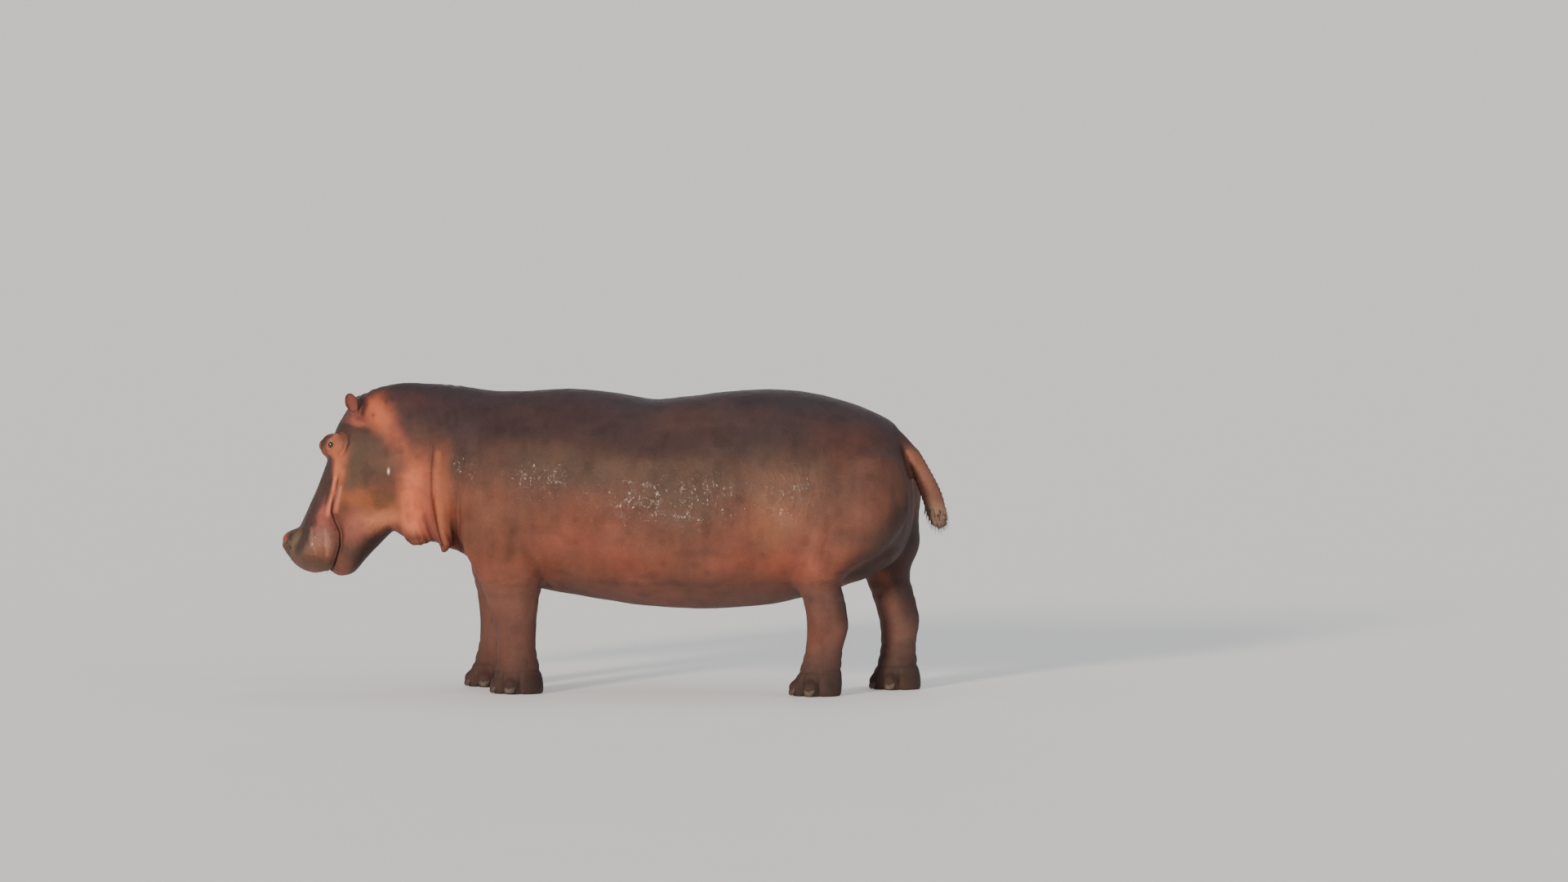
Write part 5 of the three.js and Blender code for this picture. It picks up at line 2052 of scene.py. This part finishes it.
@dataclass
class Bristles:
    """The sparse hairs of the muzzle, ears and tail."""

    skin: Clay

    def build(self, effects: Effects) -> None:
        """Grows and settles every group of hairs."""
        points, normals = self.skin.points(), self.skin.normals()
        dark = BristleFinish("bristle_dark", (26, 19, 17), (58, 44, 38)).material(effects)
        pale = BristleFinish("bristle_pale", (86, 66, 56), (176, 150, 128)).material(effects)
        black = BristleFinish("bristle_black", (14, 11, 10), (34, 26, 22)).material(effects)
        for made, material in (
            (self.muzzle(points, normals), pale),
            (self.ears(points, normals), dark),
            (self.tail(points, normals), black),
        ):
            settle(made, material)

    def muzzle(self, points: np.ndarray, normals: np.ndarray) -> bpy.types.Object:
        """Hairs on both lips and round the nostrils."""
        head = moved(points, TO_HEAD)
        own = normals @ HEAD_AXES
        lips = (head[:, 0] > 330) & (head_share(points, head) > 0.9) & (own[:, 2] > -0.9)
        chosen = np.flatnonzero(lips & (np.abs(head[:, 1]) > 20))
        h = head[chosen]
        turn = np.arctan2(h[:, 1], h[:, 2] + 120) / TAU + 0.5
        flat = unwrapped(turn, (h[:, 0] - 330) / (h[:, 0].max() - 330))
        lie = np.tile(HEAD_AXES[:, 0] * 0.8 + np.array([0, 0, -0.3]), (len(chosen), 1))
        strands = Strands("muzzle_bristles", 360, (7, 18), 0.6, 0.4, 41)
        return strands.build(points[chosen], normals[chosen], lie, flat)

    def ears(self, points: np.ndarray, normals: np.ndarray) -> bpy.types.Object:
        """Hairs along the ears' edges."""
        roots, ways, lies, flats = [], [], [], []
        for k, ear in enumerate(EARS):
            own = ear.own(points)
            e = ear.across(own)
            edge = (e > 0.72) & (e < 1.15) & (np.abs(own[:, 0]) < ear.depth) & (own[:, 2] > 20)
            chosen = np.flatnonzero(edge)
            up = np.array(ear.matrix())[:3, 2]
            roots.append(points[chosen])
            ways.append(normals[chosen])
            lies.append(np.tile(up, (len(chosen), 1)))
            turn = np.arctan2(own[chosen, 0], own[chosen, 1]) / TAU + 0.5
            flats.append(unwrapped((0.46 * turn + 0.48 * k) / 0.95, own[chosen, 2] / 120))
        strands = Strands("ear_bristles", 260, (4, 9), 0.3, 1.2, 42)
        return strands.build(*(np.concatenate(part) for part in (roots, ways, lies, flats)))

    def tail(self, points: np.ndarray, normals: np.ndarray) -> bpy.types.Object:
        """Thick hairs over the tail's end."""
        near = (tail_share(points) > 0.5) & (points[:, 2] < 890)
        chosen = np.flatnonzero(near)
        p = points[chosen]
        turn = np.arctan2(p[:, 1], p[:, 0] - 1370) / TAU + 0.5
        flat = unwrapped(turn, (p[:, 2] - 770) / 140)
        lie = np.tile(np.array([0.25, 0, -1.6]), (len(chosen), 1))
        strands = Strands("tail_bristles", 260, (16, 34), 0.8, 1.8, 43)
        return strands.build(p, normals[chosen], lie, flat)


# ---------------------------------------------------------------- the studio


@dataclass
class Studio:
    """A pale floor, soft lamps and the camera."""

    lens: float = 288.5
    distance: float = 60.0
    aim: tuple[float, float] = (624.0, 608.4)
    reach: float = 900.0
    lamps: tuple = (  # name, azimuth, elevation, energy, spread and tint
        ("key", -17, 12, 3.9, 7, (1.0, 0.87, 0.72)),
        ("fill", 50, 30, 0.35, 60, (0.86, 0.92, 1.0)),
        ("crown", 165, 50, 0.45, 45, (0.86, 0.90, 1.0)),
        ("far", 188, 5, 0.7, 30, (1.0, 0.93, 0.84)),
    )

    def floor(self) -> None:
        """A wide pale floor."""
        corners = self.reach * np.array([[-1, -1, 0], [1, -1, 0], [1, 1, 0], [-1, 1, 0]])
        made = new_object("studio_floor", corners, [(0, 1, 2, 3)], smooth=False)
        material, bench = start_material("studio_paint")
        place = bench.place()
        soft = bench.noise(place, 1.3, 2.0).outputs["Fac"]
        colour = bench.blend(soft, (0.80, 0.80, 0.79, 1), (0.83, 0.83, 0.82, 1))
        surface = bench.surface({"Base Color": colour, "Roughness": 0.9, "Specular IOR Level": 0.1})
        bench.feed(surface, {"Emission Color": (0.9, 0.9, 0.89, 1), "Emission Strength": 0.22})
        made.data.materials.append(material)

    def lamp(
        self, name: str, azimuth: float, elevation: float, energy: float, spread: float, tint: tuple
    ) -> None:
        """A far soft lamp.

        Args:
            name: its name.
            azimuth: where it stands round the animal: 0 on the left side, 90 behind the tail.
            elevation: how high, in degrees.
            energy: its strength.
            spread: its apparent size in degrees.
            tint: its colour.
        """
        lamp = bpy.data.lights.new(name, "SUN")
        lamp.energy, lamp.angle, lamp.color = energy, math.radians(spread), tint
        made = shown(bpy.data.objects.new(name, lamp))
        a, e = math.radians(azimuth), math.radians(elevation)
        back = Vector((math.sin(a) * math.cos(e), -math.cos(a) * math.cos(e), math.sin(e)))
        made.rotation_mode = "QUATERNION"
        made.rotation_quaternion = back.to_track_quat("Z", "Y")
        made.location = back * 8

    def lights(self) -> None:
        """A warm key from ahead on the left, a cool fill, and a pale surround."""
        for name, *settings in self.lamps:
            self.lamp(name, *settings)
        world = bpy.data.worlds.new("surround")
        bpy.context.scene.world = world
        world.use_nodes = True
        bench = Bench(world.node_tree)
        glow = bench.node("Background", {"Color": (0.84, 0.85, 0.87, 1), "Strength": 0.42})
        seen = bench.node("Background", {"Color": (0.64, 0.64, 0.635, 1), "Strength": 1.0})
        eye = bench.node("LightPath").outputs["Is Camera Ray"]
        both = bench.node("MixShader", {0: eye, 1: glow.outputs[0], 2: seen.outputs[0]})
        bench.node("OutputWorld", {"Surface": both.outputs[0]})

    def camera(self) -> None:
        """The camera, level, far off on the animal's left."""
        right, ahead, up = OUTLOOK.axes()
        target = np.array([0, 0, OUTLOOK.level]) + right * self.aim[0] + up * self.aim[1]
        lens = bpy.data.cameras.new("camera")
        lens.lens, lens.sensor_width, lens.clip_end = self.lens, 36.0, 1500.0
        made = shown(bpy.data.objects.new("camera", lens))
        turn = Matrix((right, up, -ahead)).transposed()
        place = PLACE.row(target[None])[0] - ahead * self.distance
        made.matrix_world = Matrix.Translation(place) @ turn.to_4x4()
        bpy.context.scene.camera = made

    def build(self) -> None:
        """Sets the whole studio up."""
        self.floor()
        self.lights()
        self.camera()


def flesh_nodes() -> list[str]:
    """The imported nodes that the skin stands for."""
    return ["trunk", "neck", "head", "lower_jaw", "tail", "ear_left", "ear_right"] + [g.name for g in LEGS]


def main() -> None:
    """Builds the studio and the animal, piece by piece."""
    logging.basicConfig(level=logging.INFO, format="%(name)s %(message)s")
    Studio().build()
    effects = Effects()
    skin = Skin()
    hide = skin.build()
    points, normals = skin.clay.points(), skin.clay.normals()
    # the hide's colours, with painted shade and painted highlights laid into them
    paint(hide.data, "markings_and_painted_light", MARKINGS_AND_PAINTED_LIGHT.colour(points, normals))
    # painted shade deep in the mouth line, the nostrils' slits and the neck folds
    paint(hide.data, "fold", MARKINGS_AND_PAINTED_LIGHT.fold_shade(points, normals))
    paint(hide.data, "damp", MARKINGS_AND_PAINTED_LIGHT.damp(points))
    Bristles(skin.clay).build(effects)
    settle(hide, HideFinish().material(effects))
    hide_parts(*flesh_nodes())
    eyes = Eyeballs().build()
    settle(eyes, EyeFinish().material(effects))
    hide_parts("eye_left", "eye_right")
    nails = Toenails().build()
    settle(nails, NailFinish().material(effects))
    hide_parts(*(f"{leg.name}_nail_{k}" for leg in LEGS for k in (1, 2, 3, 4)))


if __name__ == "__main__":
    main()
